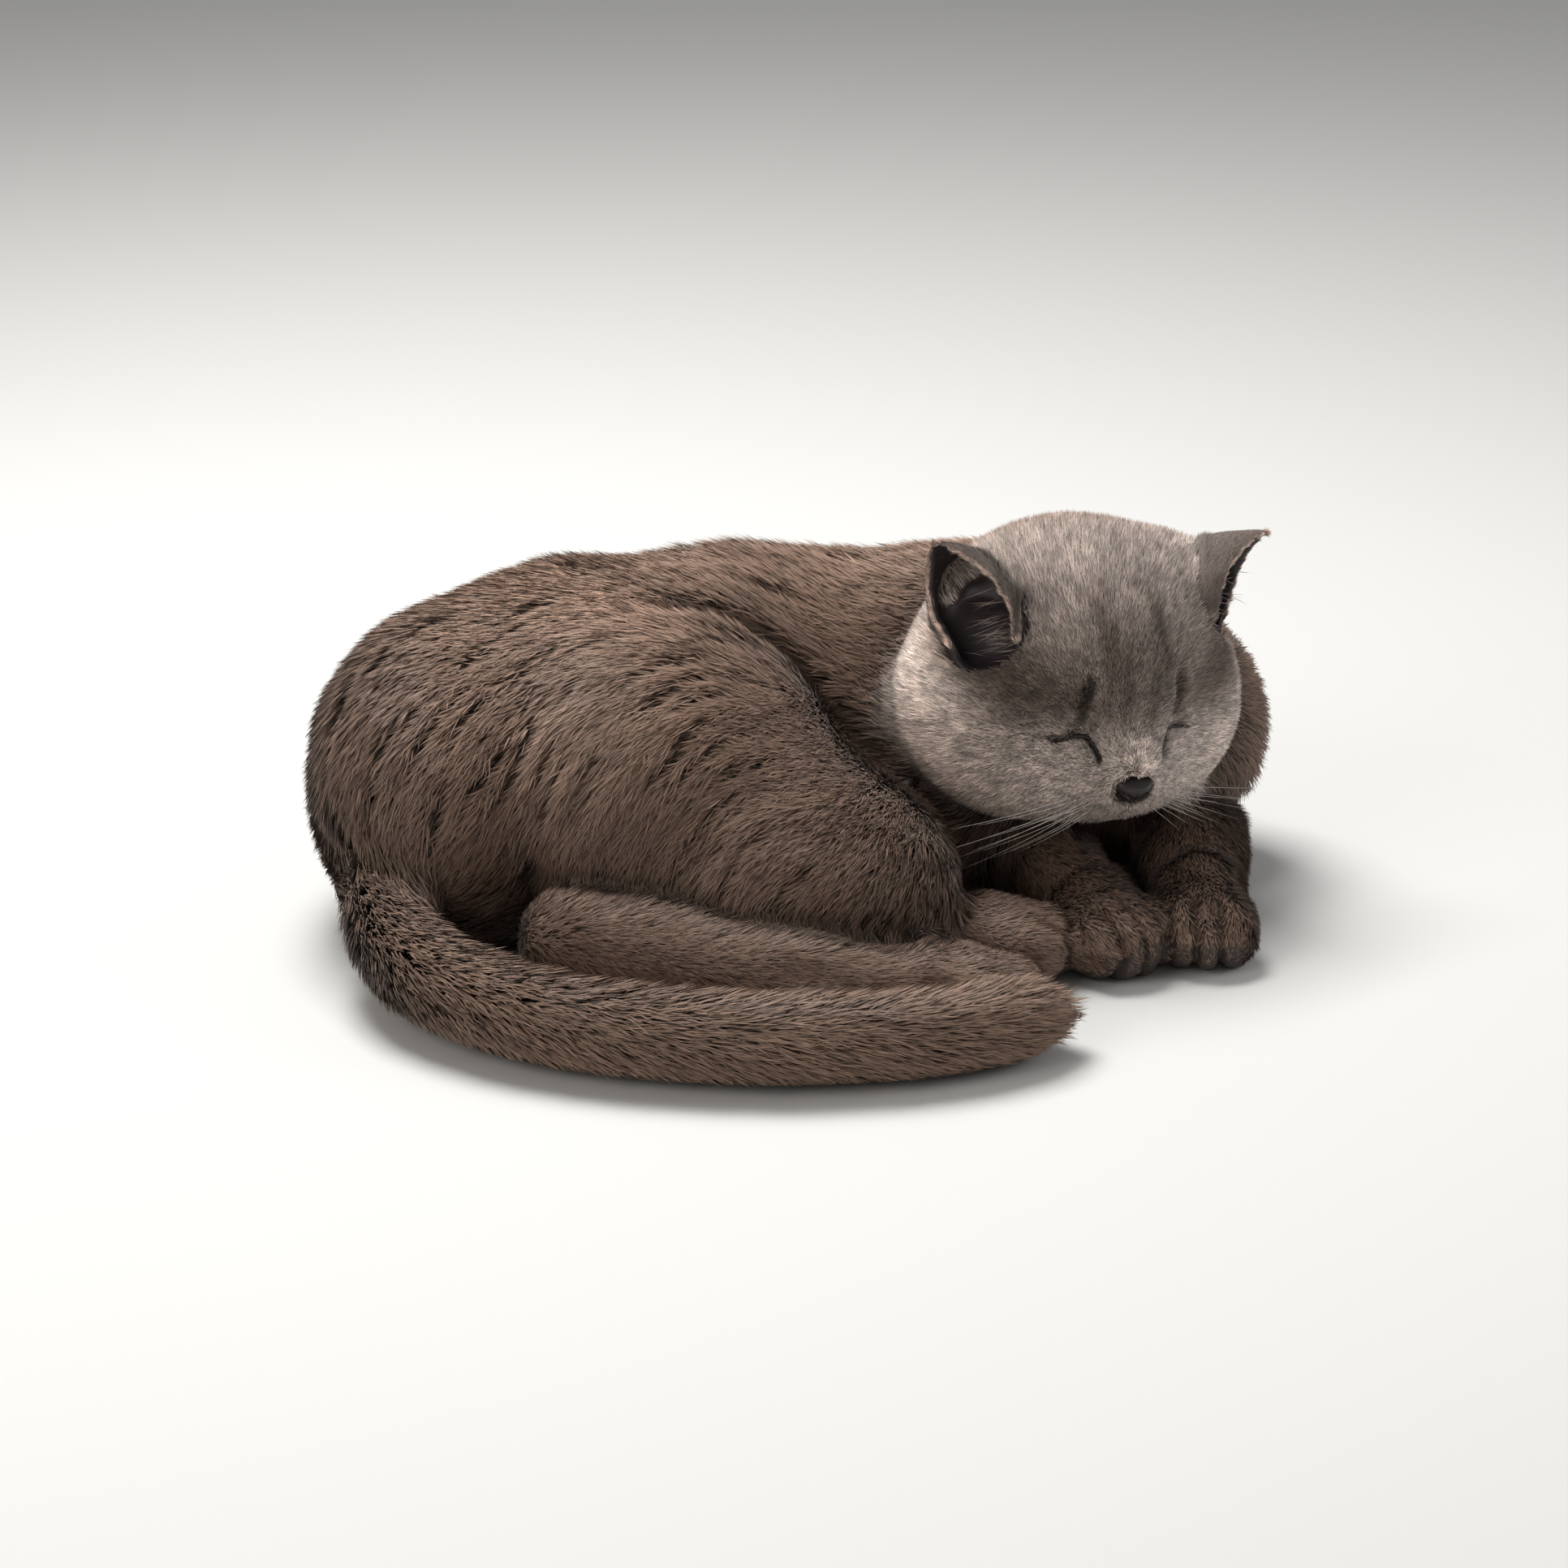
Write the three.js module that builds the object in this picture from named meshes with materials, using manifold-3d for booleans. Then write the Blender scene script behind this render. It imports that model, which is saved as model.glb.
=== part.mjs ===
// A domestic cat of the stocky, plush coated kind, asleep and curled up on a floor, at life size and in
// millimetres. The cat lies on its left side: +X is the head's end of the curl, -Y is the side that the
// legs and the face are on, +Z is up. Each part is the outside of the coat, closed and solid, and parts
// that touch keep a small clearance.
import * as THREE from "three";
import { mergeVertices } from "three/addons/utils/BufferGeometryUtils.js";
import Module from "manifold-3d";

const wasm = await Module();
wasm.setup();

// ---- driving dimensions, over the coat ----
const HEAD_WIDTH = 134;
const BODY_HEIGHT = 127;
const TRUNK_THICKNESS = 124;
const LEG_THICKNESS = 42;
const PAW = { width: 40, length: 48, height: 31 };
const TAIL_THICKNESS = 38;
const EAR = { cup: 31, lip: 13, wall: 3.5, root: 9 };
const HEAD_PLACE = [101.5, 18, 102];
const HEAD_TURN = { yaw: 24, pitch: 31, roll: 5 }; // degrees: aside, nose down, tilt

const CLEARANCE = 0.4; // between two parts that touch
const FLOOR = 0; // the level that the cat lies on
const STEP = 3; // the stride outwards from a part's middle while its surface is looked for
const HALVINGS = 12; // then the last stride is halved this often
const OVERRUN = 10; // how far a part is drawn past a straight cut before it is cut

const rad = THREE.MathUtils.degToRad;
const vec = (x, y, z) => new THREE.Vector3(x, y, z);
const both = (make) => [make(-1), make(1)];

// ---- fields: the distance to a surface, negative inside ----
function softMin(a, b, softness) {
  const share = Math.max(softness - Math.abs(a - b), 0) / softness;
  return Math.min(a, b) - (share * share * softness) / 4;
}

const blend = (fields, softness) => (p) => fields.map((f) => f(p)).reduce((a, b) => softMin(a, b, softness));

// An ellipsoid: its centre, its radii and its turn about Z, in degrees.
function lobe(centre, radii, yaw = 0) {
  const [cos, sin] = [Math.cos(rad(yaw)), Math.sin(rad(yaw))];
  const [rx, ry, rz] = radii;
  return (p) => {
    const [dx, dy, z] = [p.x - centre[0], p.y - centre[1], p.z - centre[2]];
    const [x, y] = [dx * cos + dy * sin, dy * cos - dx * sin];
    const near = Math.hypot(x / rx, y / ry, z / rz);
    const slope = Math.hypot(x / rx ** 2, y / ry ** 2, z / rz ** 2);
    return slope < 1e-9 ? -Math.min(rx, ry, rz) : (near * (near - 1)) / slope;
  };
}

// A round bar between two joints, each a place and a radius.
function bar(start, end) {
  const from = vec(...start.at);
  const along = vec(...end.at).sub(from);
  const q = vec(0, 0, 0);
  return (p) => {
    const t = THREE.MathUtils.clamp(q.copy(p).sub(from).dot(along) / along.lengthSq(), 0, 1);
    return q.addScaledVector(along, -t).length() - THREE.MathUtils.lerp(start.r, end.r, t);
  };
}

const limb = (joints, softness) => blend(joints.slice(1).map((joint, i) => bar(joints[i], joint)), softness);

// A thin straight cut at a point. It faces along an arrow, with a heading in degrees from +X and a rise.
function cutAt(point, heading, rise = 0) {
  const level = Math.cos(rad(rise));
  const arrow = vec(Math.cos(rad(heading)) * level, Math.sin(rad(heading)) * level, Math.sin(rad(rise)));
  return { arrow, reach: arrow.dot(vec(...point)) };
}
const turned = (cut) => ({ arrow: cut.arrow.clone().negate(), reach: -cut.reach });

// ---- solids ----
function bare(geometry) {
  geometry.deleteAttribute("normal");
  geometry.deleteAttribute("uv");
  return geometry;
}

function solidOf(geometry) {
  const merged = mergeVertices(bare(geometry), 1e-3);
  return new wasm.Manifold(
    new wasm.Mesh({
      numProp: 3,
      vertProperties: merged.getAttribute("position").array,
      triVerts: new Uint32Array(merged.index.array),
    }),
  );
}

function geometryOf(solid) {
  const mesh = solid.getMesh();
  const geometry = new THREE.BufferGeometry();
  geometry.setAttribute("position", new THREE.BufferAttribute(new Float32Array(mesh.vertProperties), 3));
  geometry.setIndex(new THREE.BufferAttribute(new Uint32Array(mesh.triVerts), 1));
  geometry.computeVertexNormals();
  return geometry;
}

const largest = (solid) => solid.decompose().sort((a, b) => b.volume() - a.volume())[0];

// A geodesic ball, stretched and then blown up from a part's middle until each point meets the field, and
// cut straight where the part ends against its neighbour. The level lets it stop that far outside.
function wrap({ field, middle, stretch = [1, 1, 1], detail, cuts = [], lying = true }, level = 0) {
  const ball = mergeVertices(bare(new THREE.IcosahedronGeometry(1, detail)), 1e-4);
  const place = ball.getAttribute("position");
  const centre = vec(...middle);
  const way = vec(0, 0, 0);
  const spot = vec(0, 0, 0);
  const outside = (reach) => {
    spot.copy(centre).addScaledVector(way, reach);
    const limits = cuts.map((cut) => cut.arrow.dot(spot) - cut.reach - OVERRUN);
    if (lying) limits.push(FLOOR - spot.z);
    return Math.max(field(spot), ...limits) > level;
  };
  for (let i = 0; i < place.count; i += 1) {
    way.fromBufferAttribute(place, i).multiply(vec(...stretch)).normalize();
    let far = STEP;
    while (!outside(far)) far += STEP;
    let near = far - STEP;
    for (let n = 0; n < HALVINGS; n += 1) {
      const half = (near + far) / 2;
      if (outside(half)) far = half;
      else near = half;
    }
    outside(near);
    if (lying && level === 0 && spot.z < FLOOR + 0.01) spot.z = FLOOR;
    place.setXYZ(i, spot.x, spot.y, spot.z);
  }
  const trim = (solid, cut) =>
    solid.trimByPlane(cut.arrow.clone().negate().toArray(), CLEARANCE / 2 - level - cut.reach);
  return cuts.reduce(trim, solidOf(ball));
}

// A closed skin over rings of points. Each ring has the same even count, and both ends are stitched flat.
function loft(rings) {
  const count = rings[0].length;
  const last = (rings.length - 1) * count;
  const faces = [];
  for (let r = 0; r + 1 < rings.length; r += 1) {
    for (let i = 0; i < count; i += 1) {
      const [a, b] = [r * count + i, r * count + ((i + 1) % count)];
      faces.push(a, b, b + count, a, b + count, a + count);
    }
  }
  for (let i = 0; i + 1 < count / 2; i += 1) {
    const [j, k] = [count - 1 - i, count - 2 - i];
    faces.push(i, j, i + 1, i + 1, j, k);
    faces.push(last + i, last + i + 1, last + j, last + i + 1, last + k, last + j);
  }
  const geometry = new THREE.BufferGeometry().setFromPoints(rings.flat());
  geometry.setIndex(faces);
  return solidOf(geometry);
}

// ---- the head, in its own frame: +X the cat's left, -Y forward, +Z up ----
const CHEEK = 31; // radius of a cheek, across
const cheekReach = HEAD_WIDTH / 2 - CHEEK;
const skull = blend(
  [
    lobe([0, 4, 5], [53, 42, 38]),
    lobe([0, -20, 12], [37, 27, 24]),
    ...both((side) => lobe([side * cheekReach, -10, -17], [CHEEK, 38, 35], side * 12)),
    ...both((side) => lobe([side * 12, -48, -18], [15, 14, 13])),
    ...both((side) => lobe([side * 27, -32, -23], [22, 22, 19])),
    ...both((side) => lobe([side * 38, 8, 21], [15, 17, 14])),
    bar({ at: [0, -34, 8], r: 13 }, { at: [0, -55, -5], r: 8 }),
    lobe([0, -40, -16], [22, 19, 16]),
  ],
  15,
);
const throat = blend([lobe([0, -44, -28], [17, 15, 12]), lobe([0, -20, -34], [25, 26, 14])], 12);

function eyelid(side) {
  const middle = [side * 21, -37.5, 1];
  return { field: lobe(middle, [13, 12, 9.5], side * 26), middle, detail: 1, lying: false };
}

const headParts = {
  nose: { field: lobe([0, -62, -7], [8, 5.5, 6]), middle: [0, -62, -7], detail: 1, lying: false },
  eyelid_right: eyelid(-1),
  eyelid_left: eyelid(1),
  head: { field: skull, middle: [0, -18, -4], detail: 6, lying: false },
  jaw: { field: throat, middle: [0, -30, -32], detail: 2, lying: false },
};

// The hollow in the skull that an ear opens into.
function earHollow(side) {
  const middle = [side * 50, -9, 21];
  return { field: lobe(middle, [17, 12, 14], side * 30), middle, detail: 1, lying: false };
}

// An ear is half a cone, open to the front: an outer and an inner wall that meet along the rim. It stands
// between the two ends of its root, and its tip leans out over the outer one.
function ear(side) {
  const inner = vec(side * 28, -17, 32);
  const outer = vec(side * 59, 4, 5);
  const tip = side > 0 ? vec(70, 8, 42) : vec(-68, 12, 46);
  const foot = inner.clone().add(outer).multiplyScalar(0.5);
  const width = inner.distanceTo(outer);
  const up = tip.clone().sub(foot);
  const height = up.length() + EAR.root;
  up.normalize();
  const across = outer.clone().sub(inner).multiplyScalar(side).normalize();
  const back = up.clone().cross(across).normalize();
  const place = new THREE.Matrix4().makeBasis(across, back, up);
  place.setPosition(foot.addScaledVector(up, -EAR.root));

  const [levels, points] = [5, 7];
  const surface = EAR.root / height;
  const rings = [];
  for (let n = 0; n <= levels; n += 1) {
    const share = n / levels;
    const open = 150 - 68 * THREE.MathUtils.smoothstep(share, surface * 0.6, 0.75);
    const taper = Math.max((1 - share) ** 0.7 * (1 + 0.3 * share), 0.08);
    const inset = Math.min(EAR.wall, width * taper * 0.3);
    const wall = (thickness, turn) =>
      vec(
        ((width / 2) * taper - thickness) * Math.sin(turn),
        ((Math.cos(turn) > 0 ? EAR.cup : EAR.lip) * taper - thickness * 0.9) * Math.cos(turn),
        share * height,
      );
    const turns = Array.from({ length: points }, (_, i) => rad(open - (2 * open * i) / (points - 1)));
    const ring = [...turns.map((t) => wall(0, t)), ...turns.reverse().map((t) => wall(inset, t))];
    rings.push(ring.map((p) => p.applyMatrix4(place)));
  }
  return loft(rings);
}

// ---- the body, in the cat's frame ----
const halfTrunk = TRUNK_THICKNESS / 2;
const top = BODY_HEIGHT / 2;
const torso = blend(
  [
    lobe([74, 62, 80], [44, 42, 46]),
    lobe([118, 57, 55], [63, 46, 59]),
    lobe([34, 70, 55], [50, 53, 64]),
    lobe([48, 24, 40], [50, 40, 45]),
    lobe([-20, 58, 58], [66, halfTrunk, 68]),
    lobe([-82, 44, 58], [60, halfTrunk + 2, 66]),
    lobe([-118, 2, 56], [58, 68, 65]),
    lobe([-50, 6, top - 6], [68, 60, top + 5]),
  ],
  22,
);
const torsoCuts = [cutAt([56, 70, 60], 193, -17), cutAt([-36, 30, 0], 175), cutAt([-60, 20, 0], 215)];

// One long mass, parted by thin cuts across it: each length has a name, a middle and a stretch.
function lengths(field, cuts, pieces) {
  return Object.fromEntries(
    Object.entries(pieces).map(([name, piece], i) => {
      const ends = [...cuts.slice(i - 1, i).map(turned), ...cuts.slice(i, i + 1)];
      return [name, { ...piece, field, cuts: i > 0 ? ends : cuts.slice(0, 1) }];
    }),
  );
}

// A paw at the end of a limb: a pad with four toes, facing a heading in degrees from -Y towards +X.
function paw(at, heading) {
  const [sin, cos] = [Math.sin(rad(heading)), Math.cos(rad(heading))];
  const spot = (forward, aside, z) => [
    at[0] + sin * forward + cos * aside,
    at[1] - cos * forward + sin * aside,
    z,
  ];
  const { width, length, height } = PAW;
  const toes = [-1.5, -0.5, 0.5, 1.5].map((n) => {
    const forward = length * (Math.abs(n) > 1 ? 0.26 : 0.36);
    return lobe(spot(forward, (n * width) / 4.6, height * 0.42), [7.8, 12, height * 0.46], heading);
  });
  const pad = lobe(spot(-2, 0, height / 2), [width / 2 - 1, length / 2, height / 2], heading);
  return { field: blend([pad, ...toes], 5), middle: spot(0, 0, height / 2), back: spot(-length * 0.3, 0, 0) };
}

// A folded leg that lies on the floor and ends in a paw, parted at the wrist or the heel.
function leg(names, joints, at, heading) {
  const end = paw(at, heading);
  const field = blend([limb(joints, 10), end.field], 6);
  const [first, final] = [joints[0].at, joints.at(-1).at];
  const reach = first.map((x, i) => Math.abs(x - final[i]) / 2 + 20);
  return lengths(field, [cutAt(end.back, heading - 90)], {
    [names[0]]: { middle: first.map((x, i) => (x + final[i]) / 2), stretch: reach, detail: 2 },
    [names[1]]: { middle: end.middle, detail: 2 },
  });
}

const foreleg = LEG_THICKNESS / 2;
const hindleg = LEG_THICKNESS / 2 - 2;

// ---- the tail, laid round the front of the curl ----
const tailLine = new THREE.CatmullRomCurve3([
  vec(-146, -44, 32),
  vec(-130, -86, 23),
  vec(-90, -117, 19),
  vec(-22, -134, 18),
  vec(46, -129, 17),
  vec(98, -105, 15),
]);

// A length of the tail, as rings square to its line. They close towards the tip and lie flat on the floor.
function tailLength(from, to) {
  const [spans, points] = [6, 12];
  const whole = tailLine.getLength();
  return (level) => {
    const rings = [];
    for (let n = 0; n <= spans; n += 1) {
      const share = to < 1 ? n / spans : 1 - (1 - n / spans) ** 1.7;
      const gap = (CLEARANCE / 2 - level) * (1 - 2 * share);
      const t = THREE.MathUtils.clamp(from + (to - from) * share + gap / whole, 0, 1);
      const middle = tailLine.getPointAt(t);
      const along = tailLine.getTangentAt(t);
      const aside = vec(0, 0, 1).cross(along).normalize();
      const above = along.clone().cross(aside);
      const full = (TAIL_THICKNESS / 2) * (1 - 0.2 * t);
      const left = Math.min(((1 - t) * whole) / full, 1);
      const radius = Math.max(full * Math.sqrt(1 - (1 - left) ** 2), 2) + level;
      const ring = Array.from({ length: points }, (_, i) => (2 * Math.PI * (i + 0.5)) / points).map((turn) =>
        middle
          .clone()
          .addScaledVector(aside, radius * Math.cos(turn))
          .addScaledVector(above, radius * Math.sin(turn)),
      );
      if (level === 0) ring.forEach((p) => p.setZ(Math.max(p.z, FLOOR)));
      rings.push(ring);
    }
    return loft(rings);
  };
}

const bodyParts = {
  ...leg(
    ["foreleg_right", "forepaw_right"],
    [
      { at: [62, 46, 34], r: 30 },
      { at: [88, 10, 22], r: foreleg + 1 },
      { at: [102, -14, 19], r: foreleg - 2 },
    ],
    [112, -36, 0],
    24,
  ),
  ...leg(
    ["foreleg_left", "forepaw_left"],
    [
      { at: [140, 58, 32], r: 30 },
      { at: [148, 16, 22], r: foreleg + 1 },
      { at: [148, -6, 19], r: foreleg - 2 },
    ],
    [147, -27, 0],
    4,
  ),
  ...leg(
    ["hindfoot_right", "hindpaw_right"],
    [
      { at: [-70, -75, 26], r: 26 },
      { at: [0, -97, 20], r: hindleg + 1 },
      { at: [38, -95, 18], r: hindleg - 1 },
    ],
    [60, -91, 0],
    66,
  ),
  ...leg(
    ["hindfoot_left", "hindpaw_left"],
    [
      { at: [0, -42, 22], r: 22 },
      { at: [30, -48, 19], r: hindleg },
      { at: [50, -50, 18], r: hindleg - 1 },
    ],
    [72, -49, 0],
    74,
  ),
  tail_root: tailLength(0, 1 / 3),
  tail_middle: tailLength(1 / 3, 2 / 3),
  tail_tip: tailLength(2 / 3, 1),
  thigh_right: {
    field: blend([lobe([-44, -10, 59], [70, 66, 66]), lobe([8, -46, 38], [56, 48, 44])], 20),
    middle: [-26, -30, 50],
    stretch: [1.2, 1, 1],
    detail: 4,
  },
  ...lengths(torso, torsoCuts, {
    neck: { middle: [104, 62, 62], detail: 4 },
    chest: { middle: [14, 46, 48], detail: 4 },
    loin: { middle: [-72, 48, 60], detail: 3 },
    rump: { middle: [-110, -6, 58], detail: 4 },
  }),
};

// ---- fitting: a part keeps its shape, and gives way only to those before it in the list ----
function fit(specs, taken) {
  const fitted = new Map();
  for (const [name, spec] of Object.entries(specs)) {
    const shape = typeof spec === "function" ? spec : (level) => wrap(spec, level);
    fitted.set(name, largest(taken.reduce((solid, other) => solid.subtract(other), shape(0))));
    taken.push(shape(CLEARANCE));
  }
  return fitted;
}

const head = new THREE.Group();
head.position.set(...HEAD_PLACE);
head.rotation.set(rad(HEAD_TURN.pitch), rad(HEAD_TURN.roll), rad(HEAD_TURN.yaw), "ZXY");
head.updateMatrix();

const headRoom = [];
const headSolids = fit(headParts, headRoom);
const skullAt = Object.keys(headParts).indexOf("head");
for (const [name, side] of [["ear_right", -1], ["ear_left", 1]]) {
  headSolids.set("head", headSolids.get("head").subtract(wrap(earHollow(side))));
  headRoom[skullAt] = headRoom[skullAt].subtract(wrap(earHollow(side), -CLEARANCE));
  headSolids.set(name, largest(ear(side).subtract(headRoom[skullAt])));
}
const bodySolids = fit(
  bodyParts,
  headRoom.map((solid) => solid.transform(head.matrix.elements)),
);

// ---- the scene graph ----
const COAT = { color: 0x7d6a60, roughness: 0.9, metalness: 0 };
const OTHER_COLOURS = { nose: 0x3a3130, eyelid_left: 0x6e5c54, eyelid_right: 0x6e5c54 };

function addMeshes(group, solids) {
  for (const [name, solid] of solids) {
    const material = new THREE.MeshStandardMaterial({ ...COAT, color: OTHER_COLOURS[name] ?? COAT.color });
    const mesh = new THREE.Mesh(geometryOf(solid), material);
    mesh.name = name;
    group.add(mesh);
  }
}

const body = new THREE.Group();
addMeshes(head, headSolids);
addMeshes(body, bodySolids);
body.add(head);

// The origin is on the floor, under the middle of the whole cat.
const bounds = new THREE.Box3().setFromObject(body, true);
const centre = bounds.getCenter(vec(0, 0, 0));
body.position.set(-centre.x, -centre.y, -bounds.min.z);

const cat = new THREE.Group();
cat.add(body);

export default cat;
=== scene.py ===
"""A plush coated cat asleep, curled on its left side, at life size and in metres.

One skin stands in for every solid of flesh. It lies inside them by the depth of the coat, and tufts of
hair grow out of it as thin solid blades that follow the lie of the coat.
"""

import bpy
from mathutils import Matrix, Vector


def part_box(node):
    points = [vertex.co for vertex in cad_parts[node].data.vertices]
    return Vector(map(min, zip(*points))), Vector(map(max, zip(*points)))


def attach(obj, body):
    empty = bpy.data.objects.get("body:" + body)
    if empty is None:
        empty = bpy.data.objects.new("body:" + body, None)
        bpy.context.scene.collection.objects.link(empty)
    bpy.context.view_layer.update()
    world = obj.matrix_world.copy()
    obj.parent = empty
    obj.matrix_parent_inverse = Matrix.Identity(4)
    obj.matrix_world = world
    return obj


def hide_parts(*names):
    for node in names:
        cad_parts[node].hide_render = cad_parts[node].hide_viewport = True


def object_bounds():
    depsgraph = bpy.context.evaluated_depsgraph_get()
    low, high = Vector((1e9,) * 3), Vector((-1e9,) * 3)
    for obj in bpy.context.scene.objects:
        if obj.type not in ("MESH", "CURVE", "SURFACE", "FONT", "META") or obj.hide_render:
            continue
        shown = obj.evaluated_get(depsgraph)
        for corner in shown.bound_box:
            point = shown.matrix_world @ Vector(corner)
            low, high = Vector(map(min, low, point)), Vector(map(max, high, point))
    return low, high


bl_info = {
    "name": "Sleeping Cat",
    "version": (1, 0, 0),
    "blender": (4, 5, 0),
    "location": "View3D > Sidebar > Cat",
    "description": "Builds a curled, sleeping cat: skin, coat, nose, whiskers and the stage it lies on",
    "category": "Object",
}

import math

import bmesh
import bpy
import numpy as np
from bpy.props import FloatProperty, FloatVectorProperty, IntProperty, PointerProperty
from mathutils import Vector
from mathutils.bvhtree import BVHTree
from mathutils.kdtree import KDTree

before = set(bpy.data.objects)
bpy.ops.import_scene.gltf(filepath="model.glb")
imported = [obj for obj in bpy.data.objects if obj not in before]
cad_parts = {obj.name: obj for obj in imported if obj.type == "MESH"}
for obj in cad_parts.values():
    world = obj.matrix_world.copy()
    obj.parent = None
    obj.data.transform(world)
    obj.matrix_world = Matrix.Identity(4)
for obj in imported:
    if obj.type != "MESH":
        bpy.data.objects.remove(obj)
CAD_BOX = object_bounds()

MM = 0.001
SKIN = "skin"


# ---- colours ----
def linear(code):
    """An sRGB hex colour as a linear colour."""
    parts = [int(code[i : i + 2], 16) / 255 for i in (1, 3, 5)]
    return [c / 12.92 if c <= 0.04045 else ((c + 0.055) / 1.055) ** 2.4 for c in parts]


def colour(name, description, code):
    return FloatVectorProperty(
        name=name, description=description, default=linear(code), size=3, subtype="COLOR", min=0, max=1
    )


def length(name, description, default):
    return FloatProperty(name=name, description=description, default=default, unit="LENGTH", min=0)


class CatSkinSettings(bpy.types.PropertyGroup):
    """Sizes of the skin."""

    grain: length("Grain", "Spacing of the skin's mesh", 1.5 * MM)
    trunk_coat: length("Trunk coat", "Depth of the coat over the trunk", 7.5 * MM)
    leg_coat: length("Leg coat", "Depth of the coat over the legs", 4.5 * MM)
    paw_coat: length("Paw coat", "Depth of the coat over the paws", 2.2 * MM)
    tail_coat: length("Tail coat", "Depth of the coat over the tail", 7.5 * MM)
    face_coat: length("Face coat", "Depth of the coat at the nose", 1.1 * MM)
    cheek_coat: length("Cheek coat", "Depth of the coat at the back of the head", 6 * MM)
    ear_coat: length("Ear coat", "Depth of the coat over the ears", 0.5 * MM)
    hide: colour("Hide", "Skin under the coat", "#3b2f29")
    # The ears' own bare skin, darkened by painted shade in the hollow of the ear.
    shaded_ear_hide: colour("Ear hide", "Bare skin in the ears", "#2a1f22")
    # The lid line colour also lays the faint painted shade of the brow folds.
    lid_line: colour("Lid line", "Rims of the lids and lips", "#17110f")


class CatCoatSettings(bpy.types.PropertyGroup):
    """Density and colours of the coat."""

    face_tufts: IntProperty(name="Face tufts", description="Tufts on the head", default=185000, min=0)
    ear_tufts: IntProperty(name="Ear tufts", description="Tufts on both ears", default=36000, min=0)
    trunk_tufts: IntProperty(name="Trunk tufts", description="On each trunk piece", default=63000, min=0)
    leg_tufts: IntProperty(name="Leg tufts", description="Tufts on the legs and paws", default=90000, min=0)
    tail_tufts: IntProperty(name="Tail tufts", description="Tufts on the tail", default=26000, min=0)
    # The root colours are darkened as painted shade deep in the plush.
    body_root: colour("Body root", "Root of the hair on the body", "#41342c")
    body_tip: colour("Body tip", "Tip of the hair on the body", "#8b7160")
    head_root: colour("Head root", "Root of the hair on the head", "#332a26")
    head_tip: colour("Head tip", "Tip of the hair on the head", "#cfc0b6")


class CatStageSettings(bpy.types.PropertyGroup):
    """Camera and studio."""

    distance: length("Camera distance", "From the camera to the middle of the cat", 1.3)
    elevation: FloatProperty(
        name="Elevation",
        description="Angle of the camera over the cat",
        default=math.radians(22),
        subtype="ANGLE",
    )
    lens: FloatProperty(name="Lens", description="Focal length in millimetres", default=82.36, min=1)
    floor_colour: colour("Floor", "Pale studio floor", "#cfcecb")


# ---- meshes as arrays ----
def points_of(mesh):
    """A mesh's vertex positions."""
    out = np.empty(len(mesh.vertices) * 3, np.float32)
    mesh.vertices.foreach_get("co", out)
    return out.reshape(-1, 3).astype(np.float64)


def set_points(mesh, points):
    mesh.vertices.foreach_set("co", points.astype(np.float32).ravel())
    mesh.update()


def edges_of(mesh):
    out = np.empty(len(mesh.edges) * 2, np.int32)
    mesh.edges.foreach_get("vertices", out)
    return out.reshape(-1, 2)


def triangles_of(mesh):
    mesh.calc_loop_triangles()
    out = np.empty(len(mesh.loop_triangles) * 3, np.int32)
    mesh.loop_triangles.foreach_get("vertices", out)
    return out.reshape(-1, 3)


def normals_of(points, triangles):
    """Vertex normals, weighted by area."""
    a, b, c = (points[triangles[:, k]] for k in range(3))
    face = np.cross(b - a, c - a)
    out = np.stack(
        [sum(np.bincount(triangles[:, k], face[:, i], len(points)) for k in range(3)) for i in range(3)], 1
    )
    return unit(out)


def unit(v):
    return v / np.maximum(np.linalg.norm(v, axis=-1, keepdims=True), 1e-12)


def averager(edges, count, weight=None):
    """A function that takes each vertex's value to the mean of its neighbours'."""
    weight = np.ones(len(edges)) if weight is None else weight
    total = np.bincount(edges[:, 0], weight, count) + np.bincount(edges[:, 1], weight, count)
    total = np.maximum(total, 1e-9)

    def mean(values):
        flat = values.reshape(count, -1)
        columns = [
            np.bincount(edges[:, 0], weight * flat[edges[:, 1], k], count)
            + np.bincount(edges[:, 1], weight * flat[edges[:, 0], k], count)
            for k in range(flat.shape[1])
        ]
        return (np.stack(columns, 1) / total[:, None]).reshape(values.shape)

    return mean


def smoothed(values, mean, rounds, share=0.5):
    share = share[:, None] if isinstance(share, np.ndarray) and values.ndim > 1 else share
    for _ in range(rounds):
        values = values + share * (mean(values) - values)
    return values


def smoothstep(low, high, x):
    t = np.clip((x - low) / (high - low), 0, 1)
    return t * t * (3 - 2 * t)


def new_object(name, mesh):
    piece = bpy.data.objects.new(name, mesh)
    bpy.context.scene.collection.objects.link(piece)
    return piece


def mesh_from(name, points, triangles):
    """A triangle mesh from arrays."""
    mesh = bpy.data.meshes.new(name)
    mesh.vertices.add(len(points))
    mesh.vertices.foreach_set("co", points.astype(np.float32).ravel())
    mesh.loops.add(triangles.size)
    mesh.loops.foreach_set("vertex_index", triangles.astype(np.int32).ravel())
    mesh.polygons.add(len(triangles))
    mesh.polygons.foreach_set("loop_start", np.arange(0, triangles.size, 3, dtype=np.int32))
    mesh.polygons.foreach_set("use_smooth", np.ones(len(triangles), bool))
    mesh.update(calc_edges=True)
    return mesh


def write_values(mesh, name, values):
    """A value for each vertex, kept on the mesh."""
    kind = "FLOAT_VECTOR" if values.ndim > 1 else "FLOAT"
    layer = mesh.attributes.new(name, kind, "POINT")
    layer.data.foreach_set("vector" if values.ndim > 1 else "value", values.astype(np.float32).ravel())


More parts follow.
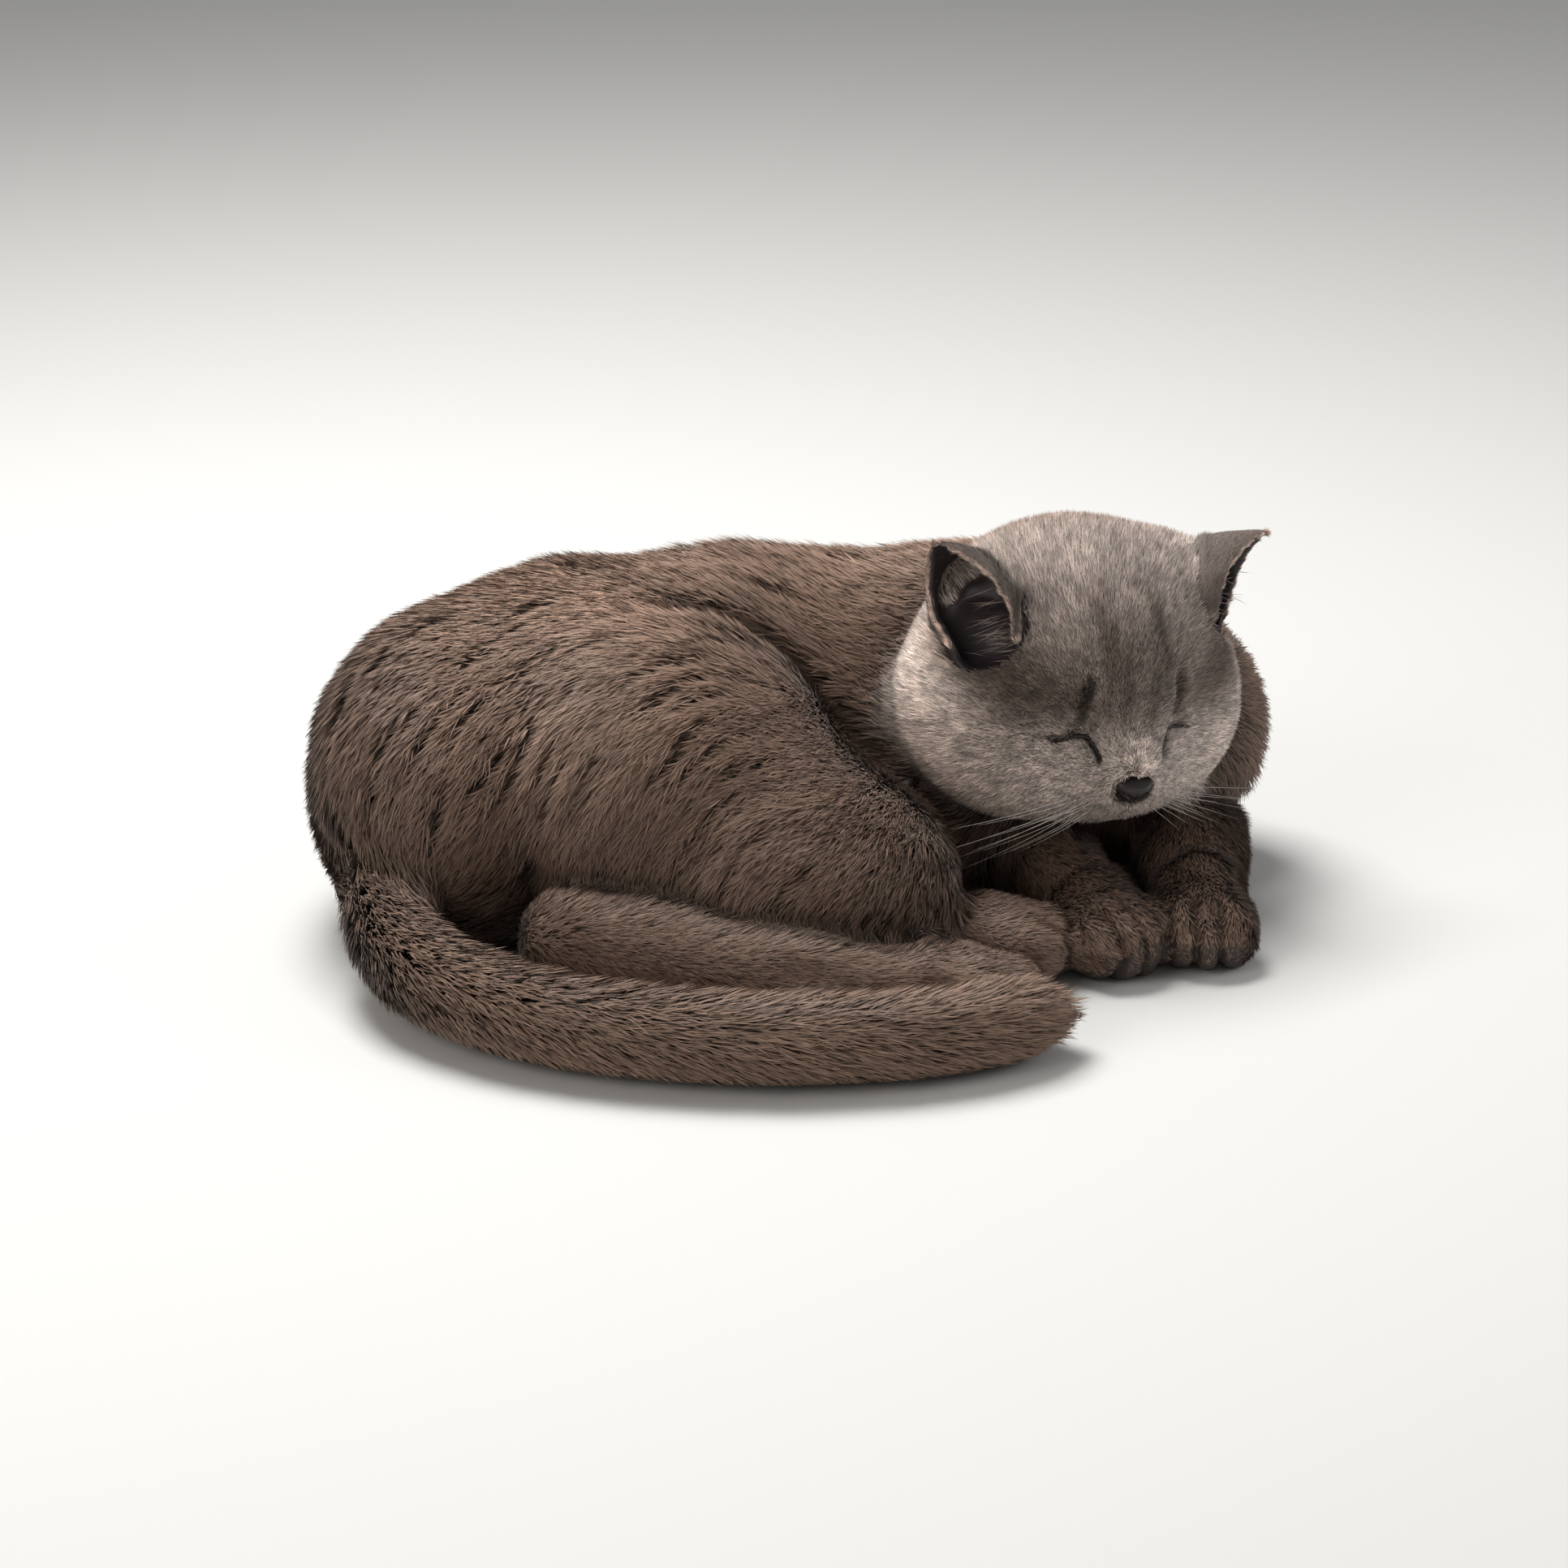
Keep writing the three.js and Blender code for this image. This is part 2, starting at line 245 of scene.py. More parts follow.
def read_values(mesh, name):
    layer = mesh.attributes[name]
    size = 3 if layer.data_type == "FLOAT_VECTOR" else 1
    out = np.empty(len(mesh.vertices) * size, np.float32)
    layer.data.foreach_get("vector" if size == 3 else "value", out)
    return out.reshape(-1, 3).astype(np.float64) if size == 3 else out.astype(np.float64)


# ---- where things are, from the frame ----
def node_points(name):
    return points_of(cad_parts[name].data)


def node_middle(name):
    return node_points(name).mean(0)


NOSE_BELOW_EYES = math.atan2(8, 24.5)


def head_axes():
    """The head's frame: a point midway between the lids, and rows for the cat's left, back and up."""
    left, right = node_middle("eyelid_left"), node_middle("eyelid_right")
    middle = (left + right) / 2
    aside = unit(left - right)
    ahead = node_middle("nose") - middle
    ahead = unit(ahead - aside * (ahead @ aside))
    up = np.cross(aside, -ahead)
    turned = ahead * math.cos(NOSE_BELOW_EYES) + unit(up) * math.sin(NOSE_BELOW_EYES)
    back = -turned
    return middle, np.stack([aside, back, np.cross(aside, back)])


LIDS_AT = np.array([0, -37.5, 1.0])
NOSE_AT = np.array([0, -62, -7])
HEAD_MIDDLE, HEAD_ROWS = head_axes()


def to_head(points):
    """Points in the head's own frame, in millimetres from the middle of the skull."""
    return (points - HEAD_MIDDLE) @ HEAD_ROWS.T / MM + LIDS_AT


def from_head(points):
    return (np.asarray(points, float) - LIDS_AT) * MM @ HEAD_ROWS + HEAD_MIDDLE


# ---- features of the face, in the head's frame and in millimetres ----
def both(line):
    line = np.array(line, float)
    return [line, line * [-1, 1, 1]]


EYE_SLIT = [(16.0, -50, 4.6), (19.5, -48, 4.8), (23, -45.5, 3.9), (27.5, -43, 1.4)]
TEAR_LINE = [(12.4, -54, 0.6), (13.8, -52.5, 2.4), (16.0, -50, 4.6)]
BROW_FOLD = [(17.4, -45, 10.0), (18.2, -44, 14.0), (17.8, -43, 18.0), (16.6, -42, 22.0)]
PHILTRUM = [(0, -64, -10), (0, -62, -15.5), (0, -60, -20.5)]
LIP = [(0, -60, -20.5), (4.5, -59, -23.5), (10, -56, -25.0), (17, -50, -25.5), (24, -43, -24.0)]


# Each line with its reach to either side, its depth and how dark it is; the brow folds' darkness is painted
# shade.
FACE_LINES = (
    [(curve, 1.9, 2.0, 1.0) for curve in both(EYE_SLIT)]
    + [(curve, 2.4, 1.6, 0.6) for curve in both(TEAR_LINE)]
    + [(curve, 3.6, 2.3, 0.2) for curve in both(BROW_FOLD)]
    + [(curve, 1.5, 1.5, 0.9) for curve in both(LIP)]
    + [(np.array(PHILTRUM, float), 1.3, 1.2, 0.8)]
)


def nearness(points, line, reach):
    """1 on a line drawn on the face, falling to 0 at its reach. Depth is left out of the distance."""
    spots = points[:, [0, 2]]
    best = np.full(len(points), 1e9)
    for a, b in zip(line[:-1], line[1:]):
        a, b = a[[0, 2]], b[[0, 2]]
        t = np.clip((spots - a) @ (b - a) / max((b - a) @ (b - a), 1e-9), 0, 1)
        best = np.minimum(best, np.linalg.norm(spots - a - t[:, None] * (b - a), axis=1))
    out = 1 - smoothstep(0, reach, best)
    return np.where(points[:, 1] < line[:, 1].max() + 14, out, 0)


# ---- the skin ----
COAT_KINDS = {
    "trunk": ("neck", "chest", "loin", "rump", "thigh_right"),
    "leg": ("foreleg_right", "foreleg_left", "hindfoot_right", "hindfoot_left"),
    "paw": ("forepaw_right", "forepaw_left", "hindpaw_right", "hindpaw_left"),
    "tail": ("tail_root", "tail_middle", "tail_tip"),
    "head": ("head", "jaw", "eyelid_left", "eyelid_right"),
    "ear": ("ear_left", "ear_right"),
}
FLESH = [name for names in COAT_KINDS.values() for name in names]
KIND_OF = {name: kind for kind, names in COAT_KINDS.items() for name in names}
TRUNK, LEG, PAW, TAIL, HEAD, EAR = range(len(COAT_KINDS))


def belongs(label, names):
    """Whether each place lies nearest to one of the named solids of flesh."""
    return np.isin(label, [FLESH.index(name) for name in names])


def flesh_mesh(swell):
    """All the flesh in one mesh, each solid swollen a little so that it meets its neighbours."""
    bm = bmesh.new()
    for name in FLESH:
        part = bmesh.new()
        part.from_mesh(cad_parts[name].data)
        bmesh.ops.remove_doubles(part, verts=part.verts, dist=1e-5)
        part.normal_update()
        for v in part.verts:
            v.co += v.normal * swell
        mesh = bpy.data.meshes.new("part")
        part.to_mesh(mesh)
        part.free()
        bm.from_mesh(mesh)
        bpy.data.meshes.remove(mesh)
    mesh = bpy.data.meshes.new("flesh")
    bm.to_mesh(mesh)
    bm.free()
    return mesh


def nearest_nodes(points):
    """For each point, the number in FLESH of the solid that it lies nearest to."""
    corners, faces, owner, start = [], [], [], 0
    for number, name in enumerate(FLESH):
        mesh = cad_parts[name].data
        tri = triangles_of(mesh)
        corners.append(points_of(mesh))
        faces.append(tri + start)
        owner += [number] * len(tri)
        start += len(corners[-1])
    tree = BVHTree.FromPolygons(np.concatenate(corners).tolist(), np.concatenate(faces).tolist())
    owner = np.array(owner)
    return owner[[tree.find_nearest(p)[2] for p in points.tolist()]]


def remeshed(mesh, voxel):
    """A closed, evenly grained mesh round another, without the small hollows inside."""
    source = new_object("flesh", mesh)
    modifier = source.modifiers.new("remesh", "REMESH")
    modifier.mode = "VOXEL"
    modifier.voxel_size = voxel
    evaluated = source.evaluated_get(bpy.context.evaluated_depsgraph_get())
    out = bpy.data.meshes.new_from_object(evaluated)
    bpy.data.objects.remove(source)
    bpy.data.meshes.remove(mesh)
    edges = edges_of(out)
    label = np.arange(len(out.vertices))
    while True:
        low = label.copy()
        np.minimum.at(low, edges[:, 0], label[edges[:, 1]])
        np.minimum.at(low, edges[:, 1], label[edges[:, 0]])
        low = low[low]
        if (low == label).all():
            break
        label = low
    keep = label == np.bincount(label).argmax()
    if not keep.all():
        bm = bmesh.new()
        bm.from_mesh(out)
        bm.verts.ensure_lookup_table()
        bmesh.ops.delete(bm, geom=[bm.verts[i] for i in np.flatnonzero(~keep)], context="VERTS")
        bm.to_mesh(out)
        bm.free()
    return out


def refine(mesh, chosen):
    """Halves the grain of the faces whose corners are all chosen."""
    bm = bmesh.new()
    bm.from_mesh(mesh)
    bm.verts.ensure_lookup_table()
    edges = [e for e in bm.edges if chosen[e.verts[0].index] and chosen[e.verts[1].index]]
    bmesh.ops.subdivide_edges(bm, edges=edges, cuts=1, use_grid_fill=True)
    bmesh.ops.triangulate(bm, faces=[f for f in bm.faces if len(f.verts) > 4])
    bm.to_mesh(mesh)
    bm.free()


def in_ear_hollow(place):
    """Whether places in the head's frame lie in the hollow that an ear opens into."""
    found = np.zeros(len(place), bool)
    for side in (-1, 1):
        turn = math.radians(side * 30)
        x, y, z = (place - [side * 50, -9, 23]).T
        across, deep = x * math.cos(turn) + y * math.sin(turn), y * math.cos(turn) - x * math.sin(turn)
        found |= (across / 17) ** 2 + (deep / 12) ** 2 + (z / 17) ** 2 < 1.2
    return found


def ear_axes():
    """For each ear: its root, its tip and the unit arrow between them."""
    out = {}
    for name in COAT_KINDS["ear"]:
        points = node_points(name)
        centre = node_middle("head")
        tip = points[np.linalg.norm(points - centre, axis=1).argmax()]
        near = np.linalg.norm(points - tip, axis=1)
        root = points[near > np.percentile(near, 75)].mean(0)
        out[name] = (root, tip, unit(tip - root))
    return out


def body_line():
    """The lie of the coat along the curled body: places with an arrow from the head to the tail."""
    chain = [node_middle(n) for n in ("head", "neck", "chest", "loin", "rump", "tail_root")]
    return arrows(chain)


def arrows(chain):
    places, ways = [], []
    for a, b in zip(chain[:-1], chain[1:]):
        for t in (0.25, 0.75):
            places.append(a + (b - a) * t)
            ways.append(unit(b - a))
    return np.array(places), np.array(ways)


def along(points, guide, reach=35 * MM):
    places, ways = guide
    distance = ((points[:, None] - places[None]) ** 2).sum(2)
    distance -= distance.min(1, keepdims=True)
    weight = np.exp(-distance / (2 * reach**2))
    return weight @ ways


LIMBS = (
    ("foreleg_right", "forepaw_right"),
    ("foreleg_left", "forepaw_left"),
    ("hindfoot_right", "hindpaw_right"),
    ("hindfoot_left", "hindpaw_left"),
)


def tail_chain():
    """Places along the middle of the tail, from its root to its tip."""
    middles = [node_middle(name) for name in COAT_KINDS["tail"]]
    ends = []
    for name in ("tail_root", "tail_tip"):
        points = node_points(name)
        far = np.linalg.norm(points - middles[1], axis=1)
        ends.append(points[far > np.percentile(far, 85)].mean(0))
    return [ends[0], *middles, ends[1]]


LIE_ON_KNEE = unit(np.array([-0.5, -0.6, -0.4]))


def lie_of_coat(points, label, ears):
    """The way that the hair points at each place, along the skin."""
    flow = np.zeros_like(points)
    trunk = belongs(label, COAT_KINDS["trunk"])
    flow[trunk] = along(points[trunk], body_line()) + [0, -0.05, -0.15]
    rump = belongs(label, ["rump"])
    to_tail = node_middle("tail_root") - points[rump]
    back = np.minimum(np.linalg.norm(to_tail, axis=1) * 6, 0.5)[:, None]
    flow[rump] = 0.7 * unit(to_tail) + back * [-1, 0, 0]
    thigh = belongs(label, ["thigh_right"])
    low, high = (np.array(corner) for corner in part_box("thigh_right"))
    knee = smoothstep(0.42, 0.85, (points[thigh, 0] - low[0]) / (high[0] - low[0]))[:, None]
    over_thigh = flow[thigh] * [1, 0.3, 1] + [-0.2, 0, -0.12]
    flow[thigh] = over_thigh * (1 - knee) + LIE_ON_KNEE * knee
    head = belongs(label, COAT_KINDS["head"])
    nape = smoothstep(0, 38, to_head(points[head])[:, 1])[:, None]
    flow[head] = unit(points[head] - from_head([0, -58, -3])) * (1 - nape) + body_line()[1][0] * nape
    for name, (_, _, way) in ears.items():
        flow[belongs(label, [name])] = way
    for leg, paw in LIMBS:
        flow[belongs(label, (leg, paw))] = unit(node_middle(paw) - node_middle(leg))
    tail = belongs(label, COAT_KINDS["tail"])
    flow[tail] = along(points[tail], arrows(tail_chain()), 22 * MM) + [0, 0, -0.12]
    return flow


def coat_depth(points, label, settings):
    """The depth of the coat over each place."""
    kinds = {
        "trunk": settings.trunk_coat,
        "leg": settings.leg_coat,
        "paw": settings.paw_coat,
        "tail": settings.tail_coat,
        "head": settings.face_coat,
        "ear": settings.ear_coat,
    }
    depth = np.array([kinds[KIND_OF[n]] for n in FLESH])[label]
    head = belongs(label, COAT_KINDS["head"])
    from_nose = np.linalg.norm(to_head(points[head]) - NOSE_AT, axis=1)
    fuller = smoothstep(14, 92, from_nose)
    depth[head] = settings.face_coat + (settings.cheek_coat - settings.face_coat) * fuller
    return depth


def markings(points, label):
    """How light and how grey the coat is at each place: a plain coat, paler on the crown and the cheeks,
    with painted light and shade.
    """
    place = to_head(points)
    head = belongs(label, COAT_KINDS["head"] + COAT_KINDS["ear"])

    def spot(centre, radii):
        return np.exp(-(((place - centre) / radii) ** 2).sum(1))

    light = np.ones(len(points))
    light += 0.05 * spot([0, 12, 40], [42, 28, 20])
    light += 1.0 * spot([0, -59, 0], [7, 14, 8])
    light -= 0.18 * spot([0, -32, 22], [26, 18, 16])
    front = np.where(place[:, 1] < -5, 1, 0)
    for side in (-1, 1):
        light += 0.75 * spot([side * 61, -12, -14], [24, 26, 28])
        light += 0.50 * spot([side * 32, -42, -14], [22, 18, 16])
        light += 0.40 * spot([side * 62, 4, 12], [12, 12, 16])
        light -= 0.60 * spot([side * 45, -25, 11], [17, 16, 12])
        light -= 0.22 * spot([side * 29, -38, 14], [14, 14, 9])
        # Painted shade along each brow fold.
        light -= 0.25 * spot([side * 17.8, -44, 16], [3, 10, 8])
        light -= 0.34 * front * spot([side * 10, -28, 32], [2.6, 22, 16])
        light -= 0.30 * front * spot([side * 5, -40, 20], [2.0, 16, 12])
    light = np.maximum(light, 0.3)
    trunk = belongs(label, COAT_KINDS["trunk"])
    high = points[:, 2] / MM
    # Painted light on the trunk: lighter with height, as light falls from above, with a painted highlight
    # along the crest of the thigh and rump.
    crest_highlight = np.where(belongs(label, ("thigh_right", "rump")), 0.9, 0.3)
    painted_top_light = 0.74 + 0.3 * smoothstep(60, 112, high) + crest_highlight * smoothstep(110, 125, high)
    back = np.where(trunk, painted_top_light, 0.85)
    # Painted shade: the trunk darkens towards its left end.
    back = back * (1 - 0.22 * smoothstep(-110, -150, points[:, 0] / MM))
    grey = np.clip(0.3 + 1.2 * (light - 0.6), 0.25, 1) * (1 - smoothstep(0, 42, place[:, 1]))
    grey = np.where(belongs(label, COAT_KINDS["ear"]), 0.4, grey)
    return np.where(head, light, back), np.where(head, grey, 0.0)


# How much, and how often, the skin over each kind of flesh is evened out.
EVENING = {
    "trunk": (0.5, 26),
    "leg": (0.5, 16),
    "paw": (0.4, 6),
    "tail": (0.5, 20),
    "head": (0.4, 12),
    "ear": (0.25, 4),
}

# Two groups of solids that meet in a crease, its depth in millimetres and how dark the painted shade makes
# the coat in it.
CREASES = (
    (("thigh_right",), ("chest", "neck"), 7.0, 0.68),
    (("thigh_right",), ("loin",), 3.0, 0.3),
    (("head", "jaw"), ("neck", "chest", "thigh_right"), 1.0, 0.45),
    (("thigh_right", "rump"), ("hindfoot_right", "hindfoot_left"), 3.0, 0.45),
    (("chest", "neck"), ("foreleg_right", "foreleg_left"), 2.0, 0.4),
)


def crease(label, mean, first, second, rounds=40):
    """1 where two groups of solids meet, fading to 0 away from there."""
    near = [
        smoothed(belongs(label, group).astype(float), mean, rounds)
        for group in (first, second)
    ]
    return np.clip(4 * near[0] * near[1], 0, 1)


def nearest_tree(points):
    tree = KDTree(len(points))
    for number, place in enumerate(points.tolist()):
        tree.insert(place, number)
    tree.balance()
    return tree


def partings(points, normals, flow, likely, count, seed):
    """Lines along the lie of the coat where it parts: how open it is, and how the hair leans off."""
    rng = np.random.default_rng(seed)
    tree = nearest_tree(points)
    spots, opens, leans = [], [], []
    for start in rng.choice(len(points), count, p=likely / likely.sum()):
        at, steps = points[start], int(rng.uniform(22, 52))
        for step in range(steps):
            near = tree.find(at)[1]
            at = at - normals[near] * ((at - points[near]) @ normals[near])
            share = (step + 0.5) / steps
            spots.append(at)
            leans.append(math.sin(math.pi * share) ** 0.5)
            opens.append(math.sin(math.pi * max((share - 0.25) / 0.75, 0)) ** 0.5)
            at = at + flow[near] * MM
    spots, opens, leans = np.array(spots), np.array(opens), np.array(leans)
    tree = nearest_tree(spots)
    found = np.array([tree.find(p)[1] for p in points.tolist()])
    off = points - spots[found]
    off = off - normals * (off * normals).sum(1)[:, None]
    gap = np.linalg.norm(off, axis=1)
    opening = opens[found] * smoothstep(1.9 * MM, 0.6 * MM, gap)
    return opening, unit(off) * (leans[found] * np.exp(-((gap / (4 * MM)) ** 2)))[:, None]


def toe_grooves(points, paw):
    """How deep, in millimetres, the three grooves between the toes of a paw are at each place."""
    leg = next(leg for leg, end in LIMBS if end == paw)
    middle = node_middle(paw)
    ahead = unit((middle - node_middle(leg)) * [1, 1, 0])
    spot = (points - middle) / MM
    forward, aside = spot @ ahead, spot @ np.cross([0, 0, 1], ahead)
    gap = np.min([np.abs(aside - at) for at in (-9.5, 0, 9.5)], axis=0)
    return 3.2 * np.exp(-((gap / 1.5) ** 2)) * smoothstep(2, 12, forward)


def streaks(points, flow, edges, seed, width_rounds, length_rounds):
    """Random bands that run along the lie of the coat, between -1 and 1."""
    count = len(points)
    rng = np.random.default_rng(seed)
    values = rng.normal(size=count)
    span = unit(points[edges[:, 1]] - points[edges[:, 0]])
    way = unit(flow[edges[:, 0]] + flow[edges[:, 1]])
    cosine = np.abs((span * way).sum(1))
    values = smoothed(values, averager(edges, count), width_rounds, 0.6)
    values = smoothed(values, averager(edges, count, cosine**6 + 0.002), length_rounds, 0.8)
    values /= values.std()
    return np.tanh(values)


def finer_face(mesh):
    """Halves the grain of the face, and again along its lines."""
    x, y, z = to_head(points_of(mesh)).T
    refine(mesh, (y < -22) & (np.abs(x) < 42) & (z > -42) & (z < 36))
    points = points_of(mesh)
    lines = [curve for curve, *_ in FACE_LINES]
    close = np.max([nearness(to_head(points), line, 5) for line in lines], axis=0) > 0.1
    refine(mesh, close & (np.linalg.norm(points - from_head([0, -45, 0]), axis=1) < 60 * MM))


def bare_in_ears(points, normals, label, ears):
    """1 on the inner side of each ear and in the hollow that it opens into."""
    inside = np.zeros(len(points))
    skull = belongs(label, COAT_KINDS["head"])
    for name, (root, _, way) in ears.items():
        own = belongs(label, [name])
        reach = (points - root) @ way
        away = points - root - reach[:, None] * way
        in_cup = skull & (np.linalg.norm(away, axis=1) < 13 * MM) & (reach > 5 * MM)
        inside = np.where(in_cup | (own & ((away * normals).sum(1) < 0)), 1.0, inside)
    return np.where(skull & in_ear_hollow(to_head(points)), 1.0, inside)


def face_lines(place):
    """How far the lids, lips and brow folds go in, in millimetres, and how dark they are: the lids and lips
    by their own colour, the brow folds by painted shade.
    """
    inward, line = np.zeros(len(place)), np.zeros(len(place))
    for curve, reach, carve, dark in FACE_LINES:
        close = nearness(place, curve, reach)
        inward = np.maximum(inward, close * carve)
        line = np.maximum(line, close * dark)
    for curve in both(EYE_SLIT):
        inward -= 1.0 * nearness(place, curve + [0, 0, -4.4], 3.8)
        inward -= 0.9 * nearness(place, curve + [0.5, 0, 5.0], 4.4)
    return inward, line


class CAT_OT_skin(bpy.types.Operator):
    """Makes the one skin that stands for all the flesh, and works out the lie and depth of the coat"""

    bl_idname = "cat.skin"
    bl_label = "Skin"

    def execute(self, context):
        settings = context.scene.cat_skin
        mesh = remeshed(flesh_mesh(0.35 * MM), settings.grain)
        finer_face(mesh)
        points, edges, triangles = points_of(mesh), edges_of(mesh), triangles_of(mesh)
        mean = averager(edges, len(points))
        label = nearest_nodes(points)
        kinds = np.array([list(COAT_KINDS).index(KIND_OF[n]) for n in FLESH])[label]
        share = np.array([even[0] for even in EVENING.values()])[kinds]
        rounds = np.array([even[1] for even in EVENING.values()])[kinds]
        for turn in range(rounds.max()):
            points = points + np.where(turn < rounds, share, 0)[:, None] * (mean(points) - points)
        root = crease(label, mean, ("rump",), ("tail_root",))
        points = smoothed(points, mean, 60, 0.5 * smoothstep(0.05, 0.5, root))
        normals = normals_of(points, triangles)
        ears = ear_axes()
        inside = bare_in_ears(points, normals, label, ears)
        depth = np.where(inside > 0.5, settings.ear_coat, coat_depth(points, label, settings))
        flow = unit(lie_of_coat(points, label, ears))
        against = np.abs((flow * normals).sum(1))
        ends = smoothstep(0.5, 0.95, against) * np.isin(kinds, (LEG, PAW, TAIL))
        depth = smoothed(depth * (1 - 0.75 * ends), mean, 24)
        resting = smoothstep(14 * MM, 1 * MM, points[:, 2]) * smoothstep(0.2, 0.8, -normals[:, 2])
        depth = depth * (1 - 0.8 * resting)
        inside = smoothed(inside, mean, 3)

        folds, shade = np.zeros(len(points)), np.ones(len(points))
        for first, second, deep, dark in CREASES:
            near = crease(label, mean, first, second)
            folds = np.maximum(folds, near * deep)
            # Painted shade: the coat is darkened where two groups of solids meet in a crease.
            shade = np.minimum(shade, 1 - crease(label, mean, first, second, 110) * dark)
        tail = node_points("tail_tip")
        end = tail[tail[:, 0].argmax()]
        taper = smoothstep(36 * MM, 0, np.linalg.norm(points - end, axis=1)) * belongs(label, ["tail_tip"])
        folds = folds + 5 * taper
        for _ in range(4):
            points = points - normals_of(points, triangles) * (folds * MM / 4)[:, None]
            points = points - normals_of(points, triangles) * (depth / 4)[:, None]
            points = points + 0.3 * (1 - inside)[:, None] * (kinds != EAR)[:, None] * (mean(points) - points)

        inward, line = face_lines(to_head(points))
        for name in COAT_KINDS["paw"]:
            inward += toe_grooves(points, name) * belongs(label, [name])
        points = points - normals_of(points, triangles) * (inward * MM)[:, None]
        points = smoothed(points, mean, 1, 0.25)
        points[:, 2] = np.maximum(points[:, 2], 0.6 * MM)
        set_points(mesh, points)

        normals = normals_of(points, triangles)
        flow = flow - normals * (flow * normals).sum(1)[:, None]
        flow = smoothed(unit(flow), mean, 60)
        flow = smoothed(flow, mean, 120, np.where(np.isin(kinds, (TRUNK, TAIL)), 0.5, 0.0))
        flow = unit(flow - normals * (flow * normals).sum(1)[:, None])
        light, grey = markings(points, label)
        write_values(mesh, "flow", flow)
        write_values(mesh, "depth", depth)
        # The light kept on the skin holds the markings together with the painted light and shade.
        write_values(mesh, "light", smoothed(light * shade, mean, 3))
        write_values(mesh, "shade", shade)
        write_values(mesh, "flat", smoothed(smoothstep(0.3, 0.85, against), mean, 16))
        write_values(mesh, "grey", smoothed(grey, mean, 10))
        write_values(mesh, "line", line)
        write_values(mesh, "inside", inside)
        streak = streaks(points, flow, edges, 5, 2, 160)
        patch = streaks(points, flow, edges, 6, 90, 60)
        trunk = kinds == TRUNK
        likely = trunk * smoothstep(-0.2, 0.7, patch) * (points[:, 2] > 25 * MM)
        bend = ((points - [-83 * MM, 0, 108 * MM]) / [34 * MM, 60 * MM, 11 * MM]) ** 2
        likely = likely + 2.2 * np.exp(-bend.sum(1)) * trunk
        cleft, parting = partings(points, normals, flow, likely, 130, 61)
        write_values(mesh, "streak", streak)
        write_values(mesh, "patch", patch)
        write_values(mesh, "fleck", streaks(points, flow, edges, 7, 0, 3))
        write_values(mesh, "cleft", cleft)
        write_values(mesh, "parting", parting)
        write_values(mesh, "owner", label.astype(float))
        mesh.polygons.foreach_set("use_smooth", np.ones(len(mesh.polygons), bool))
        mesh.materials.clear()
        mesh.materials.append(hide_material(settings))
        skin = new_object(SKIN, mesh)
        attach(skin, "root")
        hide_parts(*FLESH)
        return {"FINISHED"}


# ---- materials ----
def node(tree, kind, settings=None, **links):
    """Adds a shader node, with its settings and what feeds its sockets."""
    made = tree.nodes.new(kind)
    for key, value in (settings or {}).items():
        setattr(made, key, value)
    for key, value in links.items():
        numbered = key[0] == "i" and key[1:].isdigit()
        socket = made.inputs[int(key[1:]) if numbered else key.replace("_", " ")]
        if isinstance(value, bpy.types.NodeSocket):
            tree.links.new(value, socket)
        else:
            socket.default_value = value
    return made


def fresh_material(name):
    material = bpy.data.materials.new(name)
    material.use_nodes = True
    tree = material.node_tree
    tree.nodes.clear()
    return material, tree


def finish_material(tree, shader):
    out = tree.nodes.new("ShaderNodeOutputMaterial")
    tree.links.new(shader.outputs[0], out.inputs["Surface"])


def attribute(tree, name):
    return node(tree, "ShaderNodeAttribute", {"attribute_name": name}).outputs["Fac"]


def mixed(tree, factor, a, b, blend="MIX"):
    made = tree.nodes.new("ShaderNodeMix")
    made.data_type = "RGBA"
    made.blend_type = blend
    for socket, value in ((made.inputs[0], factor), (made.inputs[6], a), (made.inputs[7], b)):
        if isinstance(value, bpy.types.NodeSocket):
            tree.links.new(value, socket)
        else:
            socket.default_value = value if isinstance(value, float) else [*value[:3], 1.0]
    return made.outputs[2]


def ranged(tree, value, low, high, to_low, to_high):
    return node(tree, "ShaderNodeMapRange", i0=value, i1=low, i2=high, i3=to_low, i4=to_high).outputs[0]


def hide_material(settings):
    """Skin: matt, dark, bare along the lids and lips and inside the ears, whose bare skin is darkened by
    painted shade in the hollow.
    """
    material, tree = fresh_material("hide")
    place = node(tree, "ShaderNodeTexCoord").outputs["Object"]
    mottle = node(tree, "ShaderNodeTexNoise", Vector=place, Scale=380.0, Detail=3.0).outputs[0]
    base = mixed(tree, ranged(tree, mottle, 0.3, 0.7, 0.0, 0.5), settings.hide, linear("#241b17"))
    bare = mixed(tree, ranged(tree, mottle, 0.3, 0.7, 0.0, 0.6), settings.shaded_ear_hide, linear("#1f1819"))
    base = mixed(tree, attribute(tree, "grey"), base, linear("#574a44"))
    # The light attribute brings in the markings and the painted light and shade.
    tone = attribute(tree, "light")
    tone_colour = node(tree, "ShaderNodeCombineColor", i0=tone, i1=tone, i2=tone).outputs[0]
    base = mixed(tree, 1.0, base, tone_colour, "MULTIPLY")
    skin = mixed(tree, attribute(tree, "inside"), base, bare)
    # The line mask lays the dark rims of lids and lips and the painted shade of the brow folds.
    skin = mixed(tree, attribute(tree, "line"), skin, settings.lid_line)
    bump = node(tree, "ShaderNodeBump", Height=mottle, Strength=0.3, Distance=0.3 * MM).outputs[0]
    shader = node(tree, "ShaderNodeBsdfPrincipled", Base_Color=skin, Roughness=0.6, Normal=bump)
    finish_material(tree, shader)
    return material


